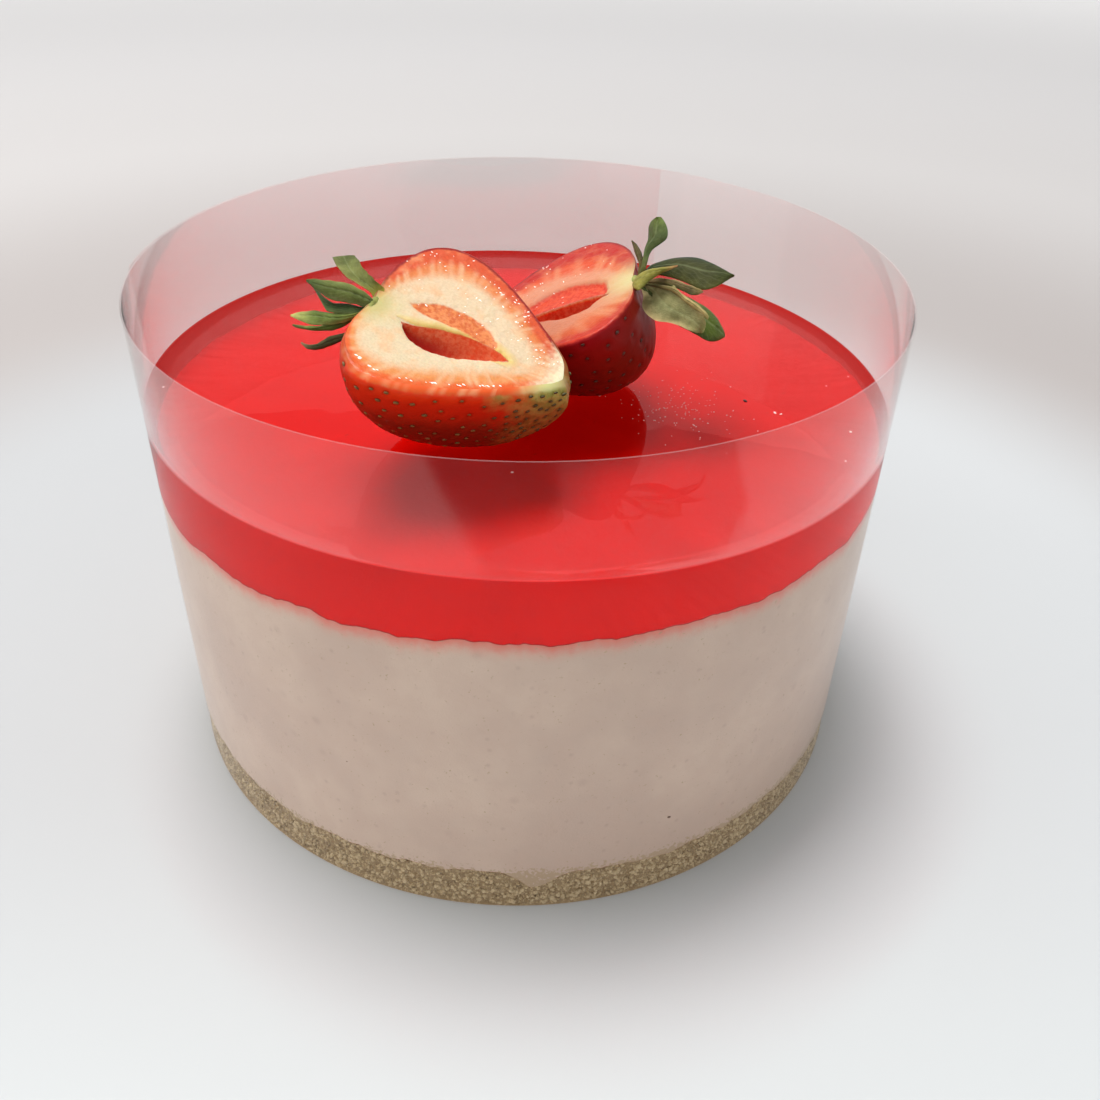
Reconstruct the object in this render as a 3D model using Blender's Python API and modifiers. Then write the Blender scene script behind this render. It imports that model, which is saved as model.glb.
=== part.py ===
"""Strawberry mousse cake in its clear cake collar, with the two halves of a strawberry on its jelly.

Metres, +Z up. The origin is the middle of the base, and the cake is seen from -Y, a little from above.
"""

import math
import random
from collections import namedtuple

import bmesh
import bpy
from mathutils import Euler, Matrix, Vector, noise

MILLIMETRE = 0.001
SHARP_ANGLE = math.radians(35)

# The round cake: a ring of 150 mm, in layers of biscuit, mousse and jelly
CAKE_RADIUS = 0.075
BISCUIT_HEIGHT = 0.0093
MOUSSE_TOP = 0.0666
JELLY_TOP = 0.0772
GAP = 0.0003
CAKE_STEPS = 120

# Rings of a layer, as shares of its radius, and the rows down the biscuit's pitted side
LAYER_RING = 0.9
JELLY_RINGS = (0.7, 0.965, 0.985)
CRUMB_ROWS = (0.7, 0.35)

# The cake stood a little out of level while each layer set: rise per metre along X and along Y
MOUSSE_SLOPE = (0.012, -0.005)
JELLY_SLOPE = (-0.017, -0.021)

# The crumbly upper edge of the biscuit, and the one deep dip where mousse ran down at the front
CRUMB_WAVE = 0.0008
CRUMB_SPACING = 0.011
CRUMB_PIT = 0.0006
CRUMB_PIT_SPACING = 0.0045
DIP_DEPTH = 0.0036
DIP_ANGLE = math.radians(-87.5)
DIP_SPREAD = math.radians(2.6)
DIP_FALL = 8

# The line between mousse and jelly waves, and the jelly climbs a little where it meets the collar
MOUSSE_WAVE = 0.0006
MOUSSE_WAVE_SPACING = 0.009
JELLY_CLIMB = 0.0007
JELLY_CLIMB_REACH = 0.0016

# The collar: one strip of film, 100 mm high, wound round the cake and on past its first end
FILM_HEIGHT = 0.1007
FILM_THICKNESS = 0.0003
FILM_START = math.radians(63)
FILM_END = math.radians(543)
FILM_RAMP = math.radians(14)
FILM_STEP = math.radians(4)

# A strawberry half in its own frame: X from crown to tip, Z up out of the cut face
Strawberry = namedtuple(
    "Strawberry",
    "name centre heading pitch roll length width depth crown_power width_power "
    "depth_power depth_round crown_at hollow seed",
)
Hollow = namedtuple("Hollow", "centre length width depth turn")
CROWN_SHARE = 0.45
CROWN_DIMPLE = 0.0026
CROWN_DIMPLE_REACH = 0.0052
ON_AXIS = 1e-5
BERRY_ROUND = 36
BERRY_RINGS = 20
BERRY_CLEARANCE = 0.0005
HOLLOW_ROUND = 18
HOLLOW_RINGS = 12
HOLLOW_POINTED = 0.35

FRONT = Strawberry(
    name="strawberry_front",
    centre=(-0.0100, -0.0291, 0.0994),
    heading=math.radians(-18.3),
    pitch=math.radians(17.8),
    roll=math.radians(10.3),
    length=0.0401,
    width=0.0429,
    depth=0.02335,
    crown_power=0.477,
    width_power=0.776,
    depth_power=0.885,
    depth_round=0.408,
    crown_at=-0.0032,
    hollow=Hollow((-0.0003, -0.0049), 0.0200, 0.0052, 0.0065, math.radians(11)),
    seed=11,
)
BACK = Strawberry(
    name="strawberry_back",
    centre=(0.0063, -0.0030, 0.0950),
    heading=math.radians(177.8),
    pitch=math.radians(24.3),
    roll=math.radians(-2.4),
    length=0.0392,
    width=0.04285,
    depth=0.02114,
    crown_power=0.60,
    width_power=0.75,
    depth_power=0.56,
    depth_round=0.50,
    crown_at=0.0042,
    hollow=Hollow((-0.0023, 0.0064), 0.0190, 0.0054, 0.0060, math.radians(-6)),
    seed=23,
)

# The seeds on the skin of a half: the rows run from near the crown to near the tip, a little
# unevenly, and stop above the jelly and short of the rim of the cut face
SEED_ROWS = 8
SEEDS_PER_ROW = 7
SEED_BAND = (0.20, 0.90)
SEED_STRAY = 0.010
SEED_SIZE = (0.00085, 0.00055, 0.00042)
SEED_SINK = 0.00022
SEED_FLOOR = JELLY_TOP + 0.004
SEED_RIM = 0.04
SKIN_STEP = 0.01

# The green leaves round each crown: points and widths in millimetres in the frame of its half.
# peak above 1 sets the widest place nearer the tip, and blunt is the share of the width left there.
Leaf = namedtuple("Leaf", "bend tip width peak blunt roll fold ripple")
LEAF_THICKNESS = 0.00045
LEAF_ALONG = 6
LEAF_ACROSS = 4
LEAF_ROOT_SHARE = 0.34
LEAF_ROOT_DEPTH = 0.6
LEAF_FULLNESS = 0.8
LEAF_WAVE = 0.00035
LEAF_WAVES = (7.0, 2.2)
CROWN_STUB = 0.0022
CROWN_SEAT = (-0.0001, -0.0012)

FRONT_LEAVES = (
    Leaf((-21.5, -0.7, 1.0), (-26.8, 3.4, -0.5), 5.0, 1.7, 0.75, -35, 0.20, 0.5),
    Leaf((-22.0, -5.2, 1.6), (-28.2, -4.6, -0.8), 5.0, 0.9, 0.12, -40, 0.25, 0.6),
    Leaf((-21.6, -6.4, -1.4), (-25.6, -6.8, -3.4), 3.2, 0.9, 0.15, -40, 0.20, 0.5),
    Leaf((-22.2, -8.0, -2.6), (-28.2, -9.5, -5.0), 3.4, 0.8, 0.12, -35, 0.35, 0.3),
    Leaf((-21.8, -9.4, -4.8), (-27.6, -10.6, -6.9), 2.4, 0.8, 0.12, -30, 0.25, 0.3),
    Leaf((-20.4, -10.4, -6.2), (-24.6, -12.4, -8.4), 2.0, 0.8, 0.20, -20, 0.40, 0.5),
)
BACK_LEAVES = (
    Leaf((-21.4, 2.0, 2.4), (-25.4, 0.2, 7.6), 5.0, 2.8, 0.55, 20, 0.20, 0.4),
    Leaf((-18.6, 0.4, 2.6), (-18.8, -2.6, 4.4), 1.8, 0.9, 0.12, 30, 0.25, 0.3),
    Leaf((-27.6, 1.4, -4.6), (-35.0, 3.2, -7.6), 7.8, 1.1, 0.10, 45, 0.22, 0.6),
    Leaf((-21.0, 5.0, 0.4), (-25.2, 4.6, -1.2), 2.6, 0.6, 0.12, 30, 0.20, 0.2),
    Leaf((-22.6, 7.4, -2.4), (-28.2, 8.6, -5.0), 2.2, 0.9, 0.12, 30, 0.35, 0.3),
    Leaf((-20.6, 10.8, -4.2), (-26.6, 12.4, -10.6), 7.0, 1.0, 0.45, 40, -0.25, 0.7),
    Leaf((-24.6, 8.2, -6.4), (-29.4, 9.6, -16.6), 5.8, 1.5, 0.35, 40, 0.20, 0.5),
)

# Colour, roughness and transmission of each finish
Finish = namedtuple("Finish", "colour roughness transmission")
BISCUIT_FINISH = Finish((0.30, 0.21, 0.13), 0.85, 0.0)
MOUSSE_FINISH = Finish((0.55, 0.42, 0.37), 0.55, 0.0)
JELLY_FINISH = Finish((0.62, 0.012, 0.010), 0.06, 0.3)
FILM_FINISH = Finish((0.95, 0.93, 0.93), 0.04, 0.95)
BERRY_FINISH = Finish((0.42, 0.012, 0.008), 0.25, 0.0)
LEAF_FINISH = Finish((0.09, 0.14, 0.04), 0.55, 0.0)


def clear_scene():
    """Remove every object, so that the script can be run again."""
    for thing in list(bpy.data.objects):
        bpy.data.objects.remove(thing, do_unlink=True)


def new_collection(name, hidden=False):
    """A collection in the scene; a hidden one keeps its cutters out of the render."""
    collection = bpy.data.collections.new(name)
    collection.hide_render = hidden
    bpy.context.scene.collection.children.link(collection)
    return collection


def material(name, finish):
    """A Principled material with the colour and the gloss of one finish."""
    result = bpy.data.materials.new(name)
    result.use_nodes = True
    shader = result.node_tree.nodes["Principled BSDF"]
    shader.inputs["Base Color"].default_value = (*finish.colour, 1.0)
    shader.inputs["Roughness"].default_value = finish.roughness
    shader.inputs["Metallic"].default_value = 0.0
    shader.inputs["Transmission Weight"].default_value = finish.transmission
    result.diffuse_color = (*finish.colour, 1.0)
    return result


def object_from(name, shape, collection, finish=None):
    """Turn a bmesh into an object in the collection, and free the bmesh."""
    mesh = bpy.data.meshes.new(name)
    shape.to_mesh(mesh)
    shape.free()
    thing = bpy.data.objects.new(name, mesh)
    collection.objects.link(thing)
    if finish:
        mesh.materials.append(material(name, finish))
    return thing


def apply_modifiers(thing):
    """Replace the object's mesh by what its modifiers make of it."""
    bpy.context.view_layer.update()
    graph = bpy.context.evaluated_depsgraph_get()
    baked = bpy.data.meshes.new_from_object(thing.evaluated_get(graph))
    thing.modifiers.clear()
    old = thing.data
    thing.data = baked
    bpy.data.meshes.remove(old)


def cut(thing, cutter):
    """Take the cutter's shape out of the thing."""
    modifier = thing.modifiers.new("Cut " + cutter.name, "BOOLEAN")
    modifier.operation = "DIFFERENCE"
    modifier.solver = "MANIFOLD"
    modifier.object = cutter


def join_collection(thing, pieces):
    """Join a collection of shapes to the thing with one union, then remove them."""
    modifier = thing.modifiers.new("Join", "BOOLEAN")
    modifier.operation = "UNION"
    modifier.operand_type = "COLLECTION"
    modifier.collection = pieces
    modifier.solver = "MANIFOLD"
    apply_modifiers(thing)
    for piece in list(pieces.objects):
        bpy.data.objects.remove(piece, do_unlink=True)
    bpy.data.collections.remove(pieces)


def ripple(x, y, spacing, layer):
    """A smooth uneven value between about -1 and 1 that depends on the place and the layer."""
    spread = 1.6
    layer_apart = 7.3
    return spread * noise.noise(Vector((x / spacing, y / spacing, layer_apart * layer)))


def biscuit_top(x, y):
    """Height of the pressed biscuit crumbs, with the dip at the front edge."""
    off_dip = (math.atan2(y, x) - DIP_ANGLE) / DIP_SPREAD
    near_edge = min(1.0, math.hypot(x, y) / CAKE_RADIUS) ** DIP_FALL
    dip = DIP_DEPTH * near_edge * math.exp(-off_dip * off_dip)
    return BISCUIT_HEIGHT + CRUMB_WAVE * ripple(x, y, CRUMB_SPACING, 1) - dip


def mousse_top(x, y):
    """Height of the set mousse under the jelly."""
    level = MOUSSE_TOP + MOUSSE_SLOPE[0] * x + MOUSSE_SLOPE[1] * y
    return level + MOUSSE_WAVE * ripple(x, y, MOUSSE_WAVE_SPACING, 2)


def jelly_top(x, y):
    """Height of the jelly, which climbs at the wall of the collar."""
    level = JELLY_TOP + JELLY_SLOPE[0] * x + JELLY_SLOPE[1] * y
    inside = CAKE_RADIUS - math.hypot(x, y)
    return level + JELLY_CLIMB * math.exp(-inside / JELLY_CLIMB_REACH)


def split_alike(mesh):
    """Split each face along its shorter diagonal, so that facing surfaces have the same triangles."""
    shape = bmesh.new()
    shape.from_mesh(mesh)
    bmesh.ops.triangulate(shape, faces=shape.faces, quad_method="SHORT_EDGE")
    shape.to_mesh(mesh)
    shape.free()


def turned_layer(name, profile, low, high, finish, pit=0.0):
    """A round layer between two surfaces.

    The profile holds (share of the radius, share of the height) from the top middle down to the
    bottom middle. Its heights are then spread between the surfaces low and high, and pit is how
    deep the side is pitted.
    """
    mesh = bpy.data.meshes.new(name)
    points = [(CAKE_RADIUS * across, 0.0, share) for across, share in profile]
    mesh.from_pydata(points, [(i, i + 1) for i in range(len(points) - 1)], [])
    layer = bpy.data.objects.new(name, mesh)
    CAKE.objects.link(layer)
    turn = layer.modifiers.new("Turn", "SCREW")
    turn.steps = turn.render_steps = CAKE_STEPS
    turn.use_merge_vertices = True
    turn.merge_threshold = 0.00001
    apply_modifiers(layer)
    for vertex in layer.data.vertices:
        x, y, share = vertex.co
        bottom = low(x, y)
        height = bottom + share * (high(x, y) - bottom)
        if 0.0 < share < 1.0:
            hole = abs(noise.noise(Vector((x, y, height)) / CRUMB_PIT_SPACING))
            inward = 1.0 - pit * hole / CAKE_RADIUS
            x, y = x * inward, y * inward
        vertex.co = (x, y, height)
    split_alike(layer.data)
    layer.data.materials.append(material(name, finish))
    layer.data.shade_smooth()
    layer.data.set_sharp_from_angle(angle=SHARP_ANGLE)
    return layer


def make_cake():
    """The three layers, each resting on the one below it; returns the jelly."""
    top = [(0.0, 1.0), (LAYER_RING, 1.0), (1.0, 1.0)]
    bottom = [(1.0, 0.0), (LAYER_RING, 0.0), (0.0, 0.0)]
    crumbs = [(1.0, share) for share in CRUMB_ROWS]
    smooth_top = [(share, 1.0) for share in (0.0, *JELLY_RINGS, 1.0)]

    def plate(_x, _y):
        return 0.0

    def mousse_bottom(x, y):
        return biscuit_top(x, y) + GAP

    def jelly_bottom(x, y):
        return mousse_top(x, y) + GAP

    turned_layer("biscuit_base", top + crumbs + bottom, plate, biscuit_top, BISCUIT_FINISH, CRUMB_PIT)
    turned_layer("mousse", top + bottom, mousse_bottom, mousse_top, MOUSSE_FINISH)
    return turned_layer("jelly", smooth_top + bottom, jelly_bottom, jelly_top, JELLY_FINISH)


def make_collar():
    """The strip of clear film, wound from its first end and over it."""
    count = round((FILM_END - FILM_START) / FILM_STEP) + 1
    inner = CAKE_RADIUS + GAP
    overlap = FILM_START + 2.0 * math.pi
    curve = bpy.data.curves.new("collar", "CURVE")
    curve.dimensions = "2D"
    curve.fill_mode = "NONE"
    curve.extrude = FILM_HEIGHT / 2.0
    route = curve.splines.new("POLY")
    route.points.add(count - 1)
    for index, point in enumerate(route.points):
        angle = FILM_START + index * FILM_STEP
        ramp = min(1.0, max(0.0, (angle - overlap + FILM_RAMP) / FILM_RAMP))
        radius = inner + (FILM_THICKNESS + GAP) * ramp * ramp * (3.0 - 2.0 * ramp)
        point.co = (radius * math.cos(angle), radius * math.sin(angle), 0.0, 1.0)
    curve.materials.append(material("collar", FILM_FINISH))
    collar = bpy.data.objects.new("collar", curve)
    CAKE.objects.link(collar)
    collar.location = (0.0, 0.0, FILM_HEIGHT / 2.0)
    wall = collar.modifiers.new("Wall", "SOLIDIFY")
    wall.thickness = FILM_THICKNESS
    wall.offset = -1.0


def skin_point(berry, from_crown, around, grow=0.0):
    """A point on the half's skin.

    from_crown runs from 0 at the crown to 1 at the tip, and around from 0 at one rim of the cut
    face, under the half, to pi at the other rim. grow moves the skin outwards.
    """
    share = from_crown ** (1.0 / berry.crown_power)
    under = from_crown ** (berry.depth_power / berry.crown_power)
    half = (berry.width / 2.0 + grow) * math.sin(math.pi * from_crown) ** berry.width_power
    deep = (berry.depth + grow) * max(0.0, math.sin(math.pi * under)) ** berry.depth_round
    x = (share - CROWN_SHARE) * (berry.length + 2.0 * grow)
    y = half * math.cos(around)
    z = -deep * math.sin(around)
    off_crown = math.hypot(y - berry.crown_at, z) / CROWN_DIMPLE_REACH
    if x < 0.0:
        x += CROWN_DIMPLE * math.exp(-off_crown * off_crown)
    return Vector((x, y, z))


def place_half(thing, berry):
    """Stand a shape that was made in a half's own frame where that half lies."""
    thing.location = berry.centre
    thing.rotation_euler = (berry.roll, berry.pitch, berry.heading)


def half_shape(berry, grow=0.0):
    """The solid half: a sphere cut in two, capped, and drawn out to the outline of the berry."""
    shape = bmesh.new()
    bmesh.ops.create_uvsphere(shape, u_segments=BERRY_ROUND, v_segments=BERRY_RINGS, radius=1.0)
    everything = shape.verts[:] + shape.edges[:] + shape.faces[:]
    bmesh.ops.bisect_plane(
        shape, geom=everything, dist=1e-6, plane_co=(0, 0, 0), plane_no=(0, 1, 0), clear_outer=True
    )
    bmesh.ops.holes_fill(shape, edges=[edge for edge in shape.edges if edge.is_boundary])
    bmesh.ops.recalc_face_normals(shape, faces=shape.faces)
    for vertex in shape.verts:
        x, y, z = vertex.co
        from_crown = (1.0 + math.sin(math.pi / 2.0 * max(-1.0, min(1.0, z)))) / 2.0
        around = math.atan2(max(0.0, -y), x) if math.hypot(x, y) > ON_AXIS else math.pi / 2.0
        vertex.co = skin_point(berry, from_crown, around, grow)
        if y > -ON_AXIS:
            vertex.co.z += grow
    shape.normal_update()
    bmesh.ops.triangulate(shape, faces=[face for face in shape.faces if len(face.verts) > 4])
    return shape


def hollow_cutter(berry):
    """The long hollow in the cut face, pointed at both ends."""
    hollow = berry.hollow
    shape = bmesh.new()
    bmesh.ops.create_uvsphere(
        shape, u_segments=HOLLOW_ROUND, v_segments=HOLLOW_RINGS, radius=1.0
    )
    turn = Matrix.Rotation(hollow.turn, 4, "Z")
    for vertex in shape.verts:
        along, across, up = vertex.co.z, vertex.co.x, vertex.co.y
        slim = 1.0 - HOLLOW_POINTED * along * along
        width, depth = across * slim * hollow.width / 2.0, up * slim * hollow.depth
        place = Vector((along * hollow.length / 2.0, width, depth))
        vertex.co = turn @ place + Vector((*hollow.centre, 0.0))
    cutter = object_from("hollow_of_" + berry.name, shape, CUTTERS)
    cutter.display_type = "WIRE"
    place_half(cutter, berry)
    return cutter


def clearance_cutter(berry):
    """The half made a little larger all round, to clear its neighbours."""
    cutter = object_from("clearance_of_" + berry.name, half_shape(berry, BERRY_CLEARANCE), CUTTERS)
    cutter.display_type = "WIRE"
    place_half(cutter, berry)
    return cutter


def seed_places(berry):
    """Where the seeds lie on the skin: (point, outward direction, direction to the tip) of each."""
    draw = random.Random(berry.seed)
    lift = Euler((berry.roll, berry.pitch, berry.heading)).to_matrix()
    for row in range(SEED_ROWS):
        row_at = SEED_BAND[0] + (SEED_BAND[1] - SEED_BAND[0]) * (row + 0.5) / SEED_ROWS
        for column in range(SEEDS_PER_ROW):
            share = (column + 0.5 + 0.5 * (row % 2)) / (SEEDS_PER_ROW + 0.5)
            around = math.pi * (share + draw.uniform(-SEED_STRAY, SEED_STRAY))
            along = row_at + draw.uniform(-SEED_STRAY, SEED_STRAY)
            point = skin_point(berry, along, around)
            down = skin_point(berry, along + SKIN_STEP, around) - point
            over = skin_point(berry, along, around + SKIN_STEP) - point
            outward = over.cross(down).normalized()
            if outward.dot(point) < 0.0:
                outward.negate()
            height = (lift @ point).z + berry.centre[2]
            if height > SEED_FLOOR and SEED_RIM < share < 1.0 - SEED_RIM:
                yield point, outward, down.normalized()


def make_half(berry):
    """One half of the strawberry, with its seeds and its hollow."""
    half = object_from(berry.name, half_shape(berry), CAKE, BERRY_FINISH)
    seeds = new_collection("seeds", hidden=True)
    for index, (point, outward, down) in enumerate(seed_places(berry)):
        shape = bmesh.new()
        bmesh.ops.create_icosphere(shape, subdivisions=1, radius=1.0)
        side = outward.cross(down).normalized()
        length, width, height = SEED_SIZE
        frame = Matrix((down * length, side * width, outward * height)).transposed()
        bmesh.ops.transform(shape, matrix=frame.to_4x4(), verts=shape.verts)
        bmesh.ops.translate(shape, vec=point - outward * SEED_SINK, verts=shape.verts)
        bmesh.ops.recalc_face_normals(shape, faces=shape.faces)
        object_from(f"seed_{index}", shape, seeds)
    join_collection(half, seeds)
    cut(half, hollow_cutter(berry))
    half.data.shade_smooth()
    half.data.set_sharp_from_angle(angle=SHARP_ANGLE)
    place_half(half, berry)
    return half


def leaf_shape(leaf, seat):
    """One thin wavy leaf from the stub along a bent midrib, both faces split into triangles alike."""
    bend, tip = Vector(leaf.bend) * MILLIMETRE, Vector(leaf.tip) * MILLIMETRE
    root = seat + (bend - seat).normalized() * CROWN_STUB * LEAF_ROOT_DEPTH
    half_width = leaf.width * MILLIMETRE / 2.0
    roll = math.radians(leaf.roll)
    shape = bmesh.new()
    bmesh.ops.create_grid(shape, x_segments=LEAF_ALONG, y_segments=LEAF_ACROSS, size=1.0)
    for vertex in shape.verts:
        along, across = (vertex.co.x + 1.0) / 2.0, vertex.co.y
        midrib = root.lerp(bend, along).lerp(bend.lerp(tip, along), along)
        run = (bend - root).lerp(tip - bend, along).normalized()
        level = Vector((0.0, 0.0, 1.0)).cross(run).normalized()
        side = level * math.cos(roll) + run.cross(level) * math.sin(roll)
        face = run.cross(side)
        full = max(0.0, math.sin(math.pi * along**leaf.peak)) ** LEAF_FULLNESS
        share = LEAF_ROOT_SHARE * (1.0 - along) + leaf.blunt * along
        reach = half_width * (share + (1.0 - share) * full)
        phase = LEAF_WAVES[0] * along + LEAF_WAVES[1] * across
        wave = math.sin(phase) * leaf.ripple * LEAF_WAVE * full
        raised = leaf.fold * abs(across) * reach + wave
        vertex.co = midrib + side * across * reach + face * raised
    bmesh.ops.triangulate(shape, faces=shape.faces)
    bmesh.ops.recalc_face_normals(shape, faces=shape.faces)
    return shape


def make_crown(name, berry, leaves):
    """The green crown of a half: a round stub in the dimple, with its leaves."""
    stub = bmesh.new()
    bmesh.ops.create_icosphere(stub, subdivisions=2, radius=CROWN_STUB)
    seat = Vector((CROWN_SEAT[0] - CROWN_SHARE * berry.length, berry.crown_at, CROWN_SEAT[1]))
    bmesh.ops.translate(stub, vec=seat, verts=stub.verts)
    crown = object_from(name, stub, CAKE, LEAF_FINISH)
    blades = new_collection("leaves", hidden=True)
    for index, leaf in enumerate(leaves):
        blade = object_from(f"leaf_{index}", leaf_shape(leaf, seat), blades)
        thick = blade.modifiers.new("Thickness", "SOLIDIFY")
        thick.thickness = LEAF_THICKNESS
        thick.offset = 0.0
    join_collection(crown, blades)
    crown.data.shade_smooth()
    crown.data.set_sharp_from_angle(angle=SHARP_ANGLE)
    place_half(crown, berry)


clear_scene()
CAKE = new_collection("strawberry mousse cake")
CUTTERS = new_collection("cutters", hidden=True)

jelly_layer = make_cake()
make_collar()
front_clearance = clearance_cutter(FRONT)
back_clearance = clearance_cutter(BACK)
make_half(FRONT)
back_half = make_half(BACK)
cut(back_half, front_clearance)
cut(jelly_layer, front_clearance)
cut(jelly_layer, back_clearance)
make_crown("crown_front", FRONT, FRONT_LEAVES)
make_crown("crown_back", BACK, BACK_LEAVES)
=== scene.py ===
"""Strawberry mousse cake: the looks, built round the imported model.

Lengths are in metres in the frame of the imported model, unless a name says millimetres.
"""

import logging
import math
from collections.abc import Callable
from dataclasses import dataclass, field
from enum import IntEnum

import bmesh
import bpy
import numpy as np
from bpy.types import Material, Node, NodeSocket, NodeTree, Object
from mathutils import Euler, Matrix, Vector, noise


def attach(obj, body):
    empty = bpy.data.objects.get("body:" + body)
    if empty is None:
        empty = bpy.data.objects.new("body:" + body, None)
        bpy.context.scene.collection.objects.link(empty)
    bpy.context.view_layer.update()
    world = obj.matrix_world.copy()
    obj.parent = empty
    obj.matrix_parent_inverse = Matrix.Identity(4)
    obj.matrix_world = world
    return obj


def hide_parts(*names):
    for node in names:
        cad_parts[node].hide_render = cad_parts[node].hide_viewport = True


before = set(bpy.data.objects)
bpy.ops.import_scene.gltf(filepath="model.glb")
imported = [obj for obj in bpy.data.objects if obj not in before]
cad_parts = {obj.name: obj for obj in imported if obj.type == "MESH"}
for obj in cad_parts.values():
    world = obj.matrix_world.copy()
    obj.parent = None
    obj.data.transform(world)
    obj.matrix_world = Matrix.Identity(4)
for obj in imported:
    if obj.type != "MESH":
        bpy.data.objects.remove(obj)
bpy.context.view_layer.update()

LOG = logging.getLogger("cake")
MM = 0.001
BODY = "root"


# ---- node helpers


class NodeWriter:
    """Writes a node tree step by step."""

    tree: NodeTree

    def add(self, kind: str, wires: dict | None = None, **settings: object) -> Node:
        """Adds a node.

        Args:
            kind: The node's Blender type.
            wires: Values, nodes or sockets for its inputs, by name or number.
            settings: The node's own properties.

        Returns:
            The new node.
        """
        node = self.tree.nodes.new(kind)
        for key, value in settings.items():
            setattr(node, key, value)
        for key, value in (wires or {}).items():
            self.feed(node.inputs[key], value)
        return node

    def feed(self, socket: NodeSocket, value: object) -> None:
        """Sets an input to a number or colour, or links a node or socket to it.

        Args:
            socket: The input.
            value: A number, colour, node or socket.
        """
        if isinstance(value, Node):
            value = value.outputs[0]
        if isinstance(value, NodeSocket):
            self.tree.links.new(value, socket)
        elif isinstance(value, tuple) and len(value) == 3 and socket.type == "RGBA":
            socket.default_value = (*value, 1.0)
        else:
            socket.default_value = value

    def calc(self, kind: str, *values: object) -> Node:
        """A Math node, such as ADD, MULTIPLY or MAXIMUM, of up to three values."""
        return self.add("ShaderNodeMath", dict(enumerate(values)), operation=kind)

    def times(self, first: object, second: object) -> Node:
        """One value times another."""
        return self.calc("MULTIPLY", first, second)

    def less(self, first: object, second: object) -> Node:
        """One value minus another."""
        return self.calc("SUBTRACT", first, second)

    def total(self, first: object, second: object) -> Node:
        """One value plus another."""
        return self.calc("ADD", first, second)

    def blend(self, first: object, by: object, second: object) -> Node:
        """The first value times a factor, plus the second."""
        return self.calc("MULTIPLY_ADD", first, by, second)

    def noise(self, at: object, scale: object, detail: float = 2.0, rough: float = 0.5) -> Node:
        """Smooth noise from 0 to 1, with scale in cycles per metre."""
        wires = {"Vector": at, "Scale": scale, "Detail": detail, "Roughness": rough}
        return self.add("ShaderNodeTexNoise", wires)

    def span(
        self,
        value: object,
        low: object,
        high: object,
        start: object = 0.0,
        end: object = 1.0,
        way: str = "SMOOTHSTEP",
    ) -> Node:
        """Goes from start to end, gently, while the value goes from low to high."""
        wires = {"Value": value, "From Min": low, "From Max": high, "To Min": start, "To Max": end}
        return self.add("ShaderNodeMapRange", wires, interpolation_type=way)

    def axes(self, place: object) -> tuple:
        """The x, y and z of a point."""
        return tuple(self.add("ShaderNodeSeparateXYZ", {0: place}).outputs)

    def point(self, x: object, y: object, z: object = 0.0) -> Node:
        """A point from its x, y and z."""
        return self.add("ShaderNodeCombineXYZ", {0: x, 1: y, 2: z})

    def length(self, place: object) -> NodeSocket:
        """A point's distance from the middle."""
        return self.add("ShaderNodeVectorMath", {0: place}, operation="LENGTH").outputs["Value"]


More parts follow.
